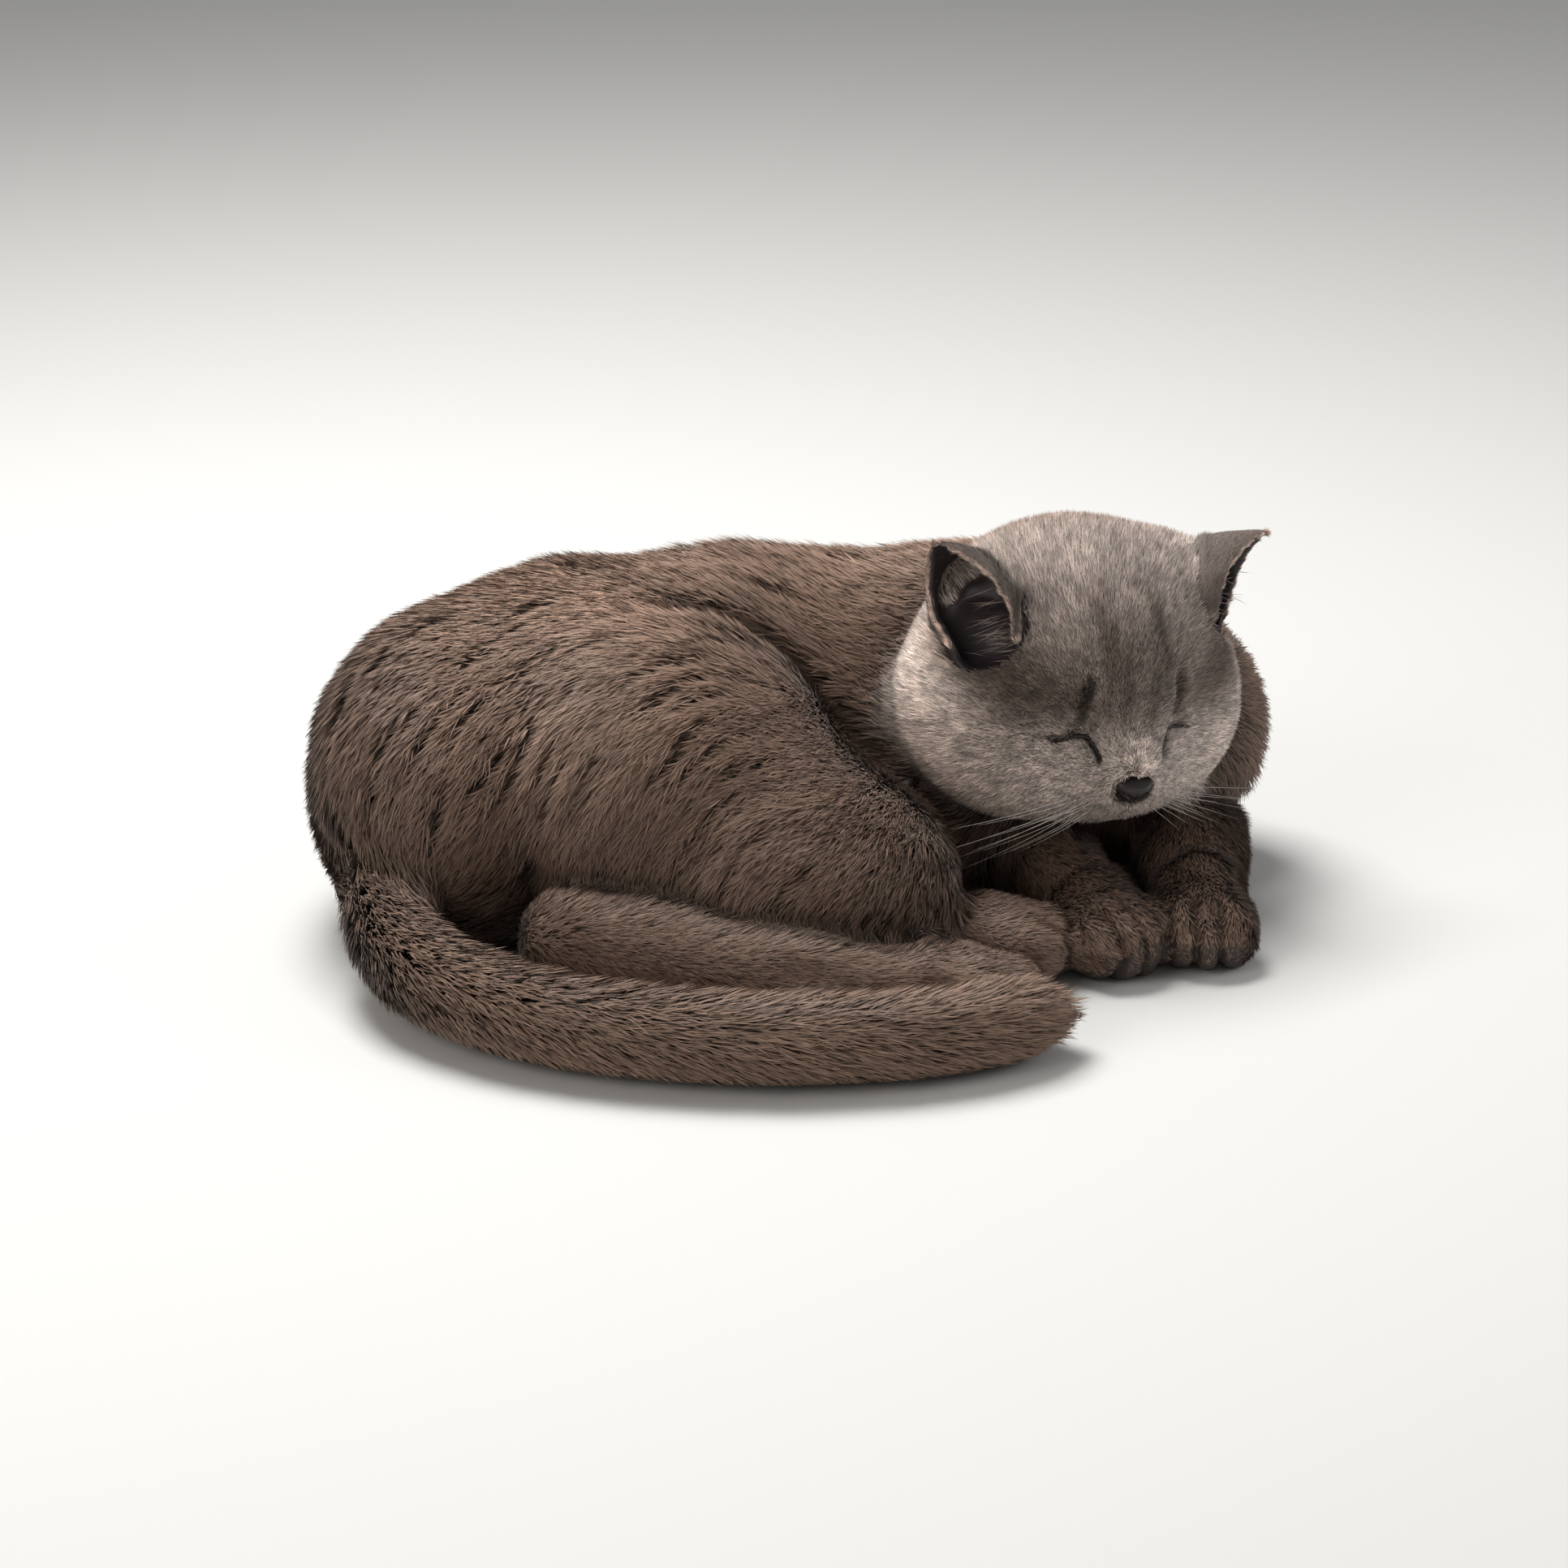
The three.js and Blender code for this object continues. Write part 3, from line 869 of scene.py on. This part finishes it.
def coat_material(settings):
    """Coat: dark at the root, as painted shade deep in the plush between the tufts, and pale at the tip."""
    material, tree = fresh_material("plush_coat")
    grey, tone = attribute(tree, "grey"), attribute(tree, "light")
    root = mixed(tree, grey, settings.body_root, settings.head_root)
    tip = mixed(tree, grey, settings.body_tip, settings.head_tip)
    hair = mixed(tree, ranged(tree, attribute(tree, "along"), 0.0, 0.7, 0.0, 1.0), root, tip)
    # The tone brings in the markings and the painted light and shade.
    tone_colour = node(tree, "ShaderNodeCombineColor", i0=tone, i1=tone, i2=tone).outputs[0]
    hair = mixed(tree, 1.0, hair, tone_colour, "MULTIPLY")
    shader = node(
        tree,
        "ShaderNodeBsdfPrincipled",
        Base_Color=hair,
        Roughness=0.62,
        Sheen_Weight=0.15,
        Sheen_Roughness=0.4,
    )
    shader.inputs["Specular IOR Level"].default_value = 0.35
    finish_material(tree, shader)
    return material


# ---- the coat ----
TUFT_PATCH = 0.003


def skin_unwrap(skin):
    """A coarse copy of the skin, unwrapped: its faces, for finding a root's place on the unwrap."""
    source = new_object("unwrap", skin.data.copy())
    modifier = source.modifiers.new("thin", "DECIMATE")
    modifier.ratio = 0.06
    evaluated = source.evaluated_get(bpy.context.evaluated_depsgraph_get())
    mesh = bpy.data.meshes.new_from_object(evaluated)
    source.modifiers.clear()
    source.data = mesh
    bpy.context.view_layer.objects.active = source
    for other in bpy.context.selected_objects:
        other.select_set(False)
    source.select_set(True)
    bpy.ops.object.mode_set(mode="EDIT")
    bpy.ops.mesh.select_all(action="SELECT")
    bpy.ops.uv.smart_project(angle_limit=math.radians(66), island_margin=0.004)
    bpy.ops.object.mode_set(mode="OBJECT")
    mesh = source.data
    triangles = triangles_of(mesh)
    loops = np.empty(len(mesh.loop_triangles) * 3, np.int32)
    mesh.loop_triangles.foreach_get("loops", loops)
    uv = np.empty(len(mesh.loops) * 2, np.float32)
    mesh.uv_layers.active.data.foreach_get("uv", uv)
    points = points_of(mesh)
    bpy.data.objects.remove(source)
    return points, triangles, uv.reshape(-1, 2)[loops].reshape(-1, 3, 2)


def unwrap_places(places, unwrap):
    """The place of each root on the unwrap."""
    points, triangles, uv = unwrap
    tree = BVHTree.FromPolygons(points.tolist(), triangles.tolist())
    hits = [tree.find_nearest(p) for p in places.tolist()]
    face = np.array([h[2] for h in hits])
    spot = np.array([h[0][:] for h in hits])
    a, b, c = (points[triangles[face, k]] for k in range(3))
    ab, ac, ap = b - a, c - a, spot - a
    d00, d01, d11 = (ab * ab).sum(1), (ab * ac).sum(1), (ac * ac).sum(1)
    d20, d21 = (ap * ab).sum(1), (ap * ac).sum(1)
    scale = np.maximum(d00 * d11 - d01 * d01, 1e-18)
    v = (d11 * d20 - d01 * d21) / scale
    w = (d00 * d21 - d01 * d20) / scale
    share = np.stack([1 - v - w, v, w], 1)
    return np.clip((uv[face] * share[:, :, None]).sum(1), 0.002, 0.998)


class Roots:
    """Places for hair on part of the skin, with all that the skin knows there."""

    def __init__(self, skin, chosen, count, density, seed):
        mesh = skin.data
        self.rng = rng = np.random.default_rng(seed)
        points, triangles = points_of(mesh), triangles_of(mesh)
        normals = normals_of(points, triangles)
        keep = chosen[triangles].all(1)
        triangles = triangles[keep]
        a, b, c = (points[triangles[:, k]] for k in range(3))
        area = np.linalg.norm(np.cross(b - a, c - a), axis=1) / 2
        area = area * density[triangles].mean(1)
        total = np.cumsum(area)
        marks = (np.arange(count) + rng.random(count)) / count * total[-1]
        face = np.minimum(np.searchsorted(total, marks), len(triangles) - 1)
        r, s = rng.random(count), rng.random(count)
        flip = r + s > 1
        r, s = np.where(flip, 1 - r, r), np.where(flip, 1 - s, s)
        self.share = np.stack([1 - r - s, r, s], 1)
        self.corner = triangles[face]
        self.count = count
        self.mesh = mesh
        self.place = self.take(points)
        self.normal = unit(self.take(normals))
        flow = self.take(read_values(mesh, "flow"))
        self.flow = unit(flow - self.normal * (flow * self.normal).sum(1)[:, None])

    def take(self, values):
        share = self.share if values.ndim == 1 else self.share[:, :, None]
        return (values[self.corner] * share).sum(1)

    def read(self, name):
        return self.take(read_values(self.mesh, name))


def grow(
    name, roots, tall, reach, width, light, unwrap, clump, pull,
    spread=0.2, ticked=0.12, bent=True, parted=1,
):
    """A piece of coat: a thin blade at each root that leans along the lie, bent where it is long.

    Blades gather towards a leader in each clump by the share pull. Spread is how far they stray from the
    lie, ticked the share with dark tips, and parted how much they lean off the partings.
    """
    rng, count = roots.rng, roots.count
    normal, flow = roots.normal, roots.flow
    aside = np.cross(normal, flow)
    flow = unit(flow + aside * rng.normal(0, spread, count)[:, None] + 0.2 * roots.read("parting") * parted)
    aside = np.cross(normal, flow)
    reach = reach * rng.uniform(0.8, 1.15, count)
    tall = np.minimum(tall * rng.uniform(0.8, 1.2, count), reach * 0.85)
    steep = np.clip(1.35 * tall / reach, 0, 0.94)
    low = np.clip(2 * tall / reach - steep, -0.2, 0.9)

    def step(rise):
        return flow * np.sqrt(1 - rise**2)[:, None] + normal * rise[:, None]

    start = roots.place - normal * 0.3 * MM
    middle = start + step(steep) * (reach / 2)[:, None]
    tip = middle + step(low) * (reach / 2)[:, None]

    spacing = max(int(count * (2.0 * MM / clump) ** 2 * 0.4), 8)
    leaders = rng.choice(count, min(spacing, count), replace=False)
    tree = KDTree(len(leaders))
    for i, p in enumerate(roots.place[leaders].tolist()):
        tree.insert(p, i)
    tree.balance()
    leader = leaders[np.array([tree.find(p)[1] for p in roots.place.tolist()])]
    draw = (pull * rng.uniform(0.5, 1.2, count))[:, None]
    near = np.linalg.norm(roots.place - roots.place[leader], axis=1) < clump * 1.6
    draw = draw * near[:, None]
    tip = tip + (tip[leader] - tip) * draw
    middle = middle + (middle[leader] - middle) * draw * 0.35

    twist = rng.normal(0, 0.45, count)[:, None]
    broad = unit(aside + normal * twist)
    side = unit(np.cross(broad, unit(tip - start)))
    turned_in = np.where((side * normal).sum(1) < 0, -1, 1)[:, None]
    broad, side = broad * turned_in, side * turned_in
    half = (width * rng.uniform(0.75, 1.25, count) / 2)[:, None]
    if bent:
        rows = [start - broad * half, start + broad * half]
        rows += [middle - broad * half, middle + broad * half, tip]
        faces, rise = [[0, 1, 3], [0, 3, 2], [2, 3, 4]], [0, 0, 0.55, 0.55, 1.0]
        corners = [[-1, -1], [1, -1], [-1, 0], [1, 0], [0, 1]]
    else:
        rows = [start - broad * half, start + broad * half, tip]
        faces, rise = [[0, 1, 2]], [0.15, 0.15, 1.0]
        corners = [[-1, -1], [1, -1], [0, 1]]
    points = np.stack(rows, 1)
    size = len(rows)
    points[:, :, 2] = np.maximum(points[:, :, 2], 0.35 * MM)
    triangles = np.arange(count)[:, None, None] * size + np.array(faces)
    mesh = mesh_from(name, points.reshape(-1, 3), triangles.reshape(-1, 3))

    tone = light * np.exp(0.13 * rng.normal(size=count)) * np.where(rng.random(count) < ticked, 0.38, 1.0)
    write_values(mesh, "along", np.tile(rise, count))
    write_values(mesh, "light", np.repeat(tone, size))
    write_values(mesh, "grey", np.repeat(roots.read("grey"), size))
    mesh.normals_split_custom_set_from_vertices(np.repeat(unit(normal + 0.7 * side), size, axis=0).tolist())
    centre = unwrap_places(roots.place, unwrap)
    uv = (centre[:, None] + np.array(corners)[None] * TUFT_PATCH / 2).reshape(-1, 2)
    layer = mesh.uv_layers.new(name="OFBake")
    layer.data.foreach_set("uv", uv[triangles.ravel()].astype(np.float32).ravel())
    mesh.materials.append(coat_material_once())
    piece = new_object(name, mesh)
    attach(piece, "root")
    return piece


def coat_material_once():
    return bpy.data.materials.get("plush_coat") or coat_material(bpy.context.scene.cat_coat)


def owned_by(skin, kinds):
    owner = read_values(skin.data, "owner").round().astype(int)
    return np.isin(owner, [FLESH.index(n) for n in FLESH if n in kinds or KIND_OF[n] in kinds])


UNWRAP = {}


def unwrap_once(skin):
    if "skin" not in UNWRAP:
        UNWRAP["skin"] = skin_unwrap(skin)
    return UNWRAP["skin"]


BODY_COATS = {
    "coat_thigh": ("thigh_right",),
    "coat_rump": ("rump", "loin"),
    "coat_chest": ("chest", "neck"),
}


class CAT_OT_body_coat(bpy.types.Operator):
    """Grows the long plush of the trunk, in three pieces"""

    bl_idname = "cat.body_coat"
    bl_label = "Body coat"

    def execute(self, context):
        settings = context.scene.cat_coat
        skin = bpy.data.objects[SKIN]
        unwrap = unwrap_once(skin)
        for seed, (name, nodes) in enumerate(BODY_COATS.items(), 11):
            depth = read_values(skin.data, "depth")
            density = np.where(depth < 4 * MM, 0.3, 1.0)
            roots = Roots(skin, owned_by(skin, nodes), settings.trunk_tufts, density, seed)
            streak, patch, depth = roots.read("streak"), roots.read("patch"), roots.read("depth")
            cleft = roots.read("cleft")
            short = 0.5 + 0.5 * roots.read("shade")
            tall = depth * (1.0 + 0.1 * streak - 0.6 * cleft) * short * (1 - 0.6 * roots.read("flat"))
            reach = depth * 1.8 * (1 + 0.1 * streak - 0.45 * cleft) * (0.3 + 0.7 * short) + 1 * MM
            # Painted shade: hair along the partings is darkened where the coat opens.
            light = roots.read("light") * (1 + 0.05 * streak + 0.06 * patch) * (1 - 0.6 * cleft)
            grow(name, roots, tall, reach, 0.62 * MM, light, unwrap, clump=2.3 * MM, pull=0.42, spread=0.26)
        return {"FINISHED"}


class CAT_OT_head_coat(bpy.types.Operator):
    """Grows the short dense coat of the head and of the ears"""

    bl_idname = "cat.head_coat"
    bl_label = "Head coat"

    def execute(self, context):
        settings = context.scene.cat_coat
        skin = bpy.data.objects[SKIN]
        unwrap = unwrap_once(skin)
        line, inside = read_values(skin.data, "line"), read_values(skin.data, "inside")
        place = to_head(points_of(skin.data))
        leather = np.linalg.norm((place - [0, -63, -7]) / [7.4, 7, 4.6], axis=1) < 1
        density = (1 - smoothstep(0.15, 0.5, line)) * (1 - smoothstep(0.2, 0.6, inside)) * (1 - leather)
        from_nose = np.linalg.norm(place - NOSE_AT, axis=1)
        density = density * (1.6 - smoothstep(20, 90, from_nose)) + 1e-5
        roots = Roots(skin, owned_by(skin, ("head",)), settings.face_tufts, density, 21)
        depth = roots.read("depth")
        # Hair close to the face lines is darker: at the lids and lips by their own colour, along the brow
        # folds by painted shade.
        close = 1 - smoothstep(0.02, 0.5, roots.read("line"))
        tall, reach = depth * 1.1, (depth * 1.4 + 1.3 * MM) * (0.5 + 0.5 * close)
        light = roots.read("light") * (0.5 + 0.5 * close) * (1 + 0.38 * roots.read("fleck"))
        width = 0.40 * MM + depth * 0.06
        grow(
            "coat_head", roots, tall, reach, width, light, unwrap,
            clump=1.6 * MM, pull=0.5, spread=0.25, ticked=0.45, bent=False, parted=0,
        )
        rim = np.exp(-(((inside - 0.45) / 0.2) ** 2))
        roots = Roots(skin, owned_by(skin, ("ear",)), settings.ear_tufts, density + 3 * rim, 22)
        low = roots.read("depth")
        pale_rim = 2.0 * np.exp(-(((roots.read("inside") - 0.5) / 0.2) ** 2))
        light = roots.read("light") * (0.46 + pale_rim)
        grow(
            "coat_ears", roots, low + 0.3 * MM, low * 2 + 2 * MM, 0.34 * MM, light, unwrap,
            clump=1.5 * MM, pull=0.2, ticked=0.2, bent=False, parted=0,
        )
        return {"FINISHED"}


class CAT_OT_limb_coat(bpy.types.Operator):
    """Grows the coat of the legs, the paws and the tail"""

    bl_idname = "cat.limb_coat"
    bl_label = "Limb coat"

    def execute(self, context):
        settings = context.scene.cat_coat
        skin = bpy.data.objects[SKIN]
        unwrap = unwrap_once(skin)
        density = np.where(read_values(skin.data, "depth") < 1.2 * MM, 0.4, 1.0)
        roots = Roots(skin, owned_by(skin, ("leg", "paw")), settings.leg_tufts, density, 31)
        depth, streak = roots.read("depth"), roots.read("streak")
        light = roots.read("light") * (1 + 0.1 * streak)
        grow(
            "coat_legs", roots, depth, depth * 1.9 + 1 * MM, 0.6 * MM, light, unwrap,
            clump=2.4 * MM, pull=0.4, bent=False,
        )
        roots = Roots(skin, owned_by(skin, ("tail",)), settings.tail_tufts, density, 32)
        depth, streak = roots.read("depth"), roots.read("streak")
        light = roots.read("light") * (1 + 0.12 * streak)
        tall = depth * (1 - 0.6 * roots.read("flat"))
        grow(
            "coat_tail", roots, tall, depth * 1.8 + 1 * MM, 0.64 * MM, light, unwrap,
            clump=2.4 * MM, pull=0.4,
        )
        return {"FINISHED"}


# ---- the nose ----
class CAT_OT_nose(bpy.types.Operator):
    """Makes the nose leather with its two nostrils"""

    bl_idname = "cat.nose"
    bl_label = "Nose leather"

    def execute(self, context):
        bm = bmesh.new()
        bmesh.ops.create_icosphere(bm, subdivisions=6, radius=1)
        mesh = bpy.data.meshes.new("nose_leather")
        bm.to_mesh(mesh)
        bm.free()
        ball = points_of(mesh)
        x, y, z = ball.T
        taper = 0.32 + 0.68 * smoothstep(-1.0, 0.25, z)
        shaped = np.stack([x * 7.4 * taper, y * 5.0, np.minimum(z * 6.4, 3.4 + 0.12 * z)], 1)
        # pit marks the nostrils and the cleft below them; they are pressed in and filled with painted shade.
        pit = np.zeros(len(ball))
        for side in (-1, 1):
            across = (shaped[:, 0] - side * 3.6) / 1.9
            level = (shaped[:, 2] + 0.9 - 0.35 * side * (shaped[:, 0] - side * 3.6)) / 1.0
            pit = np.maximum(pit, np.exp(-(across**2) - level**2))
        cleft = np.exp(-((shaped[:, 0] / 0.55) ** 2)) * smoothstep(0.5, -2.0, shaped[:, 2])
        pit = np.maximum(pit, cleft * 0.8)
        pit = np.where(y < 0.2, pit, 0)
        shaped[:, 1] += 2.4 * pit
        write_values(mesh, "pit", pit)
        set_points(mesh, from_head(shaped + NOSE_AT))
        mesh.polygons.foreach_set("use_smooth", np.ones(len(mesh.polygons), bool))
        mesh.materials.append(leather_material())
        piece = new_object("nose_leather", mesh)
        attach(piece, "root")
        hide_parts("nose")
        return {"FINISHED"}


def leather_material():
    """Nose leather: finely pebbled and a little moist, so it takes small soft highlights."""
    material, tree = fresh_material("nose_leather")
    place = node(tree, "ShaderNodeTexCoord").outputs["Object"]
    pebbles = node(tree, "ShaderNodeTexVoronoi", Vector=place, Scale=1700.0).outputs["Distance"]
    base = mixed(tree, pebbles, linear("#2c2323"), linear("#1e1818"))
    # Painted shade in the nostrils and the cleft.
    base = mixed(tree, attribute(tree, "pit"), base, linear("#0c0909"))
    bump = node(tree, "ShaderNodeBump", Height=pebbles, Strength=0.5, Distance=0.15 * MM).outputs[0]
    shader = node(tree, "ShaderNodeBsdfPrincipled", Base_Color=base, Roughness=0.5, Normal=bump)
    finish_material(tree, shader)
    return material


# ---- lid lines, whiskers and ear hair ----
def tube(line, radii, sides=6):
    """A closed tube round a line of points, as points and triangles."""
    line = np.asarray(line, float)
    way = unit(np.gradient(line, axis=0))
    aside = unit(np.cross(way, [0.13, 0.21, 0.97]))
    above = np.cross(way, aside)
    turn = np.linspace(0, 2 * math.pi, sides, endpoint=False)
    ring = aside[:, None] * np.cos(turn)[None, :, None] + above[:, None] * np.sin(turn)[None, :, None]
    points = (line[:, None] + ring * np.asarray(radii)[:, None, None]).reshape(-1, 3)
    faces = []
    for row in range(len(line) - 1):
        for i in range(sides):
            a, b = row * sides + i, row * sides + (i + 1) % sides
            faces += [[a, b, b + sides], [a, b + sides, a + sides]]
    last = (len(line) - 1) * sides
    for i in range(1, sides - 1):
        faces += [[0, i + 1, i], [last, last + i, last + i + 1]]
    return points, np.array(faces)


def joined_tubes(name, tubes):
    """One mesh from several tubes."""
    start, points, faces = 0, [], []
    for made, triangles in tubes:
        points.append(made)
        faces.append(triangles + start)
        start += len(made)
    return mesh_from(name, np.concatenate(points), np.concatenate(faces))


def skin_tree():
    mesh = bpy.data.objects[SKIN].data
    return BVHTree.FromPolygons(points_of(mesh).tolist(), triangles_of(mesh).tolist())


def on_face(tree, x, z):
    """The place on the skin of the face that lies straight behind a point in front of it."""
    back = Vector(HEAD_ROWS[1])
    return np.array(tree.ray_cast(Vector(from_head([x, -95, z])), back)[0])


def plain_material(name, code, roughness, grain):
    """Hair or bare lid: one tone, faintly mottled so that it doesn't look painted."""
    material, tree = fresh_material(name)
    place = node(tree, "ShaderNodeTexCoord").outputs["Object"]
    mottle = node(tree, "ShaderNodeTexNoise", Vector=place, Scale=grain, Detail=2.0).outputs[0]
    base = mixed(tree, mottle, linear(code), [c * 0.6 for c in linear(code)])
    finish_material(tree, node(tree, "ShaderNodeBsdfPrincipled", Base_Color=base, Roughness=roughness))
    return material


class CAT_OT_lids(bpy.types.Operator):
    """Lays the dark rim of the closed lids of each eye"""

    bl_idname = "cat.lids"
    bl_label = "Lid rims"

    def execute(self, context):
        tree = skin_tree()
        tubes = []
        for curve in both(TEAR_LINE[:-1] + EYE_SLIT):
            steps = np.linspace(0, len(curve) - 1, 31)
            spots = np.stack([np.interp(steps, range(len(curve)), curve[:, k]) for k in range(3)], 1)
            line = np.array([on_face(tree, x, z) for x, _, z in spots]) - HEAD_ROWS[1] * 1.1 * MM
            share = np.linspace(0.04, 0.96, len(line))
            radii = 1.0 * MM * np.sqrt(np.sin(math.pi * share**0.8))
            tubes.append(tube(line, radii))
        piece = new_object("lid_rims", joined_tubes("lid_rims", tubes))
        piece.data.materials.append(plain_material("lid_rim", "#1a1311", 0.5, 900.0))
        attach(piece, "root")
        return {"FINISHED"}


class CAT_OT_whiskers(bpy.types.Operator):
    """Sets the whiskers into the pads beside the nose"""

    bl_idname = "cat.whiskers"
    bl_label = "Whiskers"

    def execute(self, context):
        tree, rng = skin_tree(), np.random.default_rng(41)
        tubes = []

        def whisker(x, z, way, reach):
            start = on_face(tree, x, z)
            way = unit(np.array(way, float) @ HEAD_ROWS)
            share = np.linspace(0, 1, 9)[:, None]
            sag = HEAD_ROWS[1] * 0.35 - np.array([0, 0, 0.25])
            line = start + reach * (way * share + sag * share**2)
            line[0] -= way * 1.0 * MM
            tubes.append(tube(line, 0.12 * MM * (1 - 0.8 * share[:, 0]), 4))

        for side in (-1, 1):
            for row in range(3):
                for place in range(4):
                    x, z = side * (12.5 + 2.6 * place), -13.0 - 3.4 * row
                    ahead = -0.25 + rng.uniform(-0.06, 0.06)
                    way = [side * (0.8 + 0.12 * place), ahead, -0.05 - 0.22 * row]
                    whisker(x, z, way, (30 + 5 * place + rng.uniform(-4, 6)) * MM)
        piece = new_object("whiskers", joined_tubes("whiskers", tubes))
        piece.data.materials.append(plain_material("whisker", "#d9d3cd", 0.35, 300.0))
        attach(piece, "root")
        return {"FINISHED"}


EAR_HAIRS = 80


class CAT_OT_ear_hair(bpy.types.Operator):
    """Grows the long pale hair that crosses the opening of each ear"""

    bl_idname = "cat.ear_hair"
    bl_label = "Ear hair"

    def execute(self, context):
        skin = bpy.data.objects[SKIN]
        place, inside = to_head(points_of(skin.data)), read_values(skin.data, "inside")
        ears = ear_axes()
        for seed, (side, name) in enumerate(((-1, "ear_right"), (1, "ear_left")), 51):
            across = np.array([side * 0.67, 0.46, -0.59]) @ HEAD_ROWS
            opening = np.array([side * 0.5, -0.82, -0.06]) @ HEAD_ROWS
            root, tip, way = ears[name]
            spot = points_of(skin.data) - root
            near = (place[:, 0] * side > 0) & (inside > 0.3)
            medial = smoothstep(2 * MM, -8 * MM, spot @ across)
            low = smoothstep(0.75, 0.45, (spot @ way) / np.linalg.norm(tip - root))
            roots = Roots(skin, near, EAR_HAIRS, medial * low + 0.02, seed)
            rng = roots.rng
            roots.flow = unit(across * 0.85 + opening * 0.35 + way * rng.uniform(-0.1, 0.45, (EAR_HAIRS, 1)))
            reach = rng.uniform(8, 15, EAR_HAIRS) * MM
            light = rng.uniform(0.5, 1.2, EAR_HAIRS)
            grow(
                f"hair_{name}", roots, reach * 0.2, reach, 0.22 * MM, light, unwrap_once(skin),
                clump=4 * MM, pull=0.25,
            )
        return {"FINISHED"}


# ---- the stage ----
# The middle of the view from the middle of the CAD box, and each lamp's place, size, watts and tint.
LOOKS_AT = Vector((-2.4, 14.2, 60)) * MM
LAMPS = (
    ("top_light", (-0.3, 0.35, 1.35), 0.7, 27, "#ffffff"),
    ("left_light", (-1.0, -1.0, 0.9), 0.8, 8, "#fffaf5"),
    ("right_light", (1.2, -0.1, 0.7), 0.6, 3.5, "#fbfcff"),
)


class CAT_OT_stage(bpy.types.Operator):
    """Sets up the floor, the soft studio lights and the camera"""

    bl_idname = "cat.stage"
    bl_label = "Stage"

    def execute(self, context):
        settings = context.scene.cat_stage
        scene = context.scene
        bm = bmesh.new()
        bmesh.ops.create_grid(bm, x_segments=1, y_segments=1, size=6)
        mesh = bpy.data.meshes.new("floor")
        bm.to_mesh(mesh)
        bm.free()
        material, tree = fresh_material("studio_floor")
        shader = node(
            tree, "ShaderNodeBsdfPrincipled", Base_Color=[*settings.floor_colour, 1.0], Roughness=0.85
        )
        finish_material(tree, shader)
        mesh.materials.append(material)
        floor = new_object("floor", mesh)

        low, high = CAD_BOX
        middle = Vector(((low[0] + high[0]) / 2, (low[1] + high[1]) / 2, 0)) + LOOKS_AT
        rise = settings.elevation
        back = Vector((0, -math.cos(rise), math.sin(rise)))
        camera = bpy.data.cameras.new("camera")
        camera.lens = settings.lens
        camera.sensor_width = 36
        camera.clip_end = 20
        eye = bpy.data.objects.new("camera", camera)
        scene.collection.objects.link(eye)
        eye.location = middle + back * settings.distance
        aim = middle + Vector((-2.4 * MM, 0, 0)) - Vector((0, math.sin(rise), math.cos(rise))) * 6.0 * MM
        eye.rotation_euler = (aim - eye.location).to_track_quat("-Z", "Y").to_euler()
        scene.camera = eye

        for name, place, size, power, tint in LAMPS:
            light = bpy.data.lights.new(name, "AREA")
            light.energy = power
            light.size = size
            light.color = linear(tint)
            holder = bpy.data.objects.new(name, light)
            scene.collection.objects.link(holder)
            holder.location = place
            way = Vector((0, 0, 0.06)) - Vector(place)
            holder.rotation_euler = way.to_track_quat("-Z", "Y").to_euler()
        world = bpy.data.worlds.new("studio")
        scene.world = world
        world.use_nodes = True
        tree = world.node_tree
        tree.nodes["Background"].inputs["Color"].default_value = [*linear("#f4f4f4"), 1.0]
        tree.nodes["Background"].inputs["Strength"].default_value = 0.3
        scene.view_settings.view_transform = "Standard"
        return {"FINISHED"}


class CAT_PT_panel(bpy.types.Panel):
    """Lists the cat's pieces"""

    bl_label = "Cat"
    bl_idname = "CAT_PT_panel"
    bl_space_type = "VIEW_3D"
    bl_region_type = "UI"
    bl_category = "Cat"

    def draw(self, context):
        for operator in OPERATORS:
            self.layout.operator(operator.bl_idname)
        for name in ("cat_skin", "cat_coat", "cat_stage"):
            group = getattr(context.scene, name)
            box = self.layout.box()
            for key in group.__annotations__:
                box.prop(group, key)


SETTINGS = {"cat_skin": CatSkinSettings, "cat_coat": CatCoatSettings, "cat_stage": CatStageSettings}
OPERATORS = (
    CAT_OT_stage,
    CAT_OT_skin,
    CAT_OT_nose,
    CAT_OT_lids,
    CAT_OT_head_coat,
    CAT_OT_body_coat,
    CAT_OT_limb_coat,
    CAT_OT_ear_hair,
    CAT_OT_whiskers,
)


def register():
    for name, group in SETTINGS.items():
        bpy.utils.register_class(group)
        setattr(bpy.types.Scene, name, PointerProperty(type=group))
    for made in (*OPERATORS, CAT_PT_panel):
        bpy.utils.register_class(made)


def unregister():
    for made in (CAT_PT_panel, *reversed(OPERATORS)):
        bpy.utils.unregister_class(made)
    for name, group in SETTINGS.items():
        delattr(bpy.types.Scene, name)
        bpy.utils.unregister_class(group)


def main():
    register()
    bpy.ops.cat.stage()
    bpy.ops.cat.skin()
    bpy.ops.cat.nose()
    bpy.ops.cat.lids()
    bpy.ops.cat.head_coat()
    bpy.ops.cat.body_coat()
    bpy.ops.cat.limb_coat()
    bpy.ops.cat.ear_hair()
    bpy.ops.cat.whiskers()


if __name__ == "__main__":
    main()
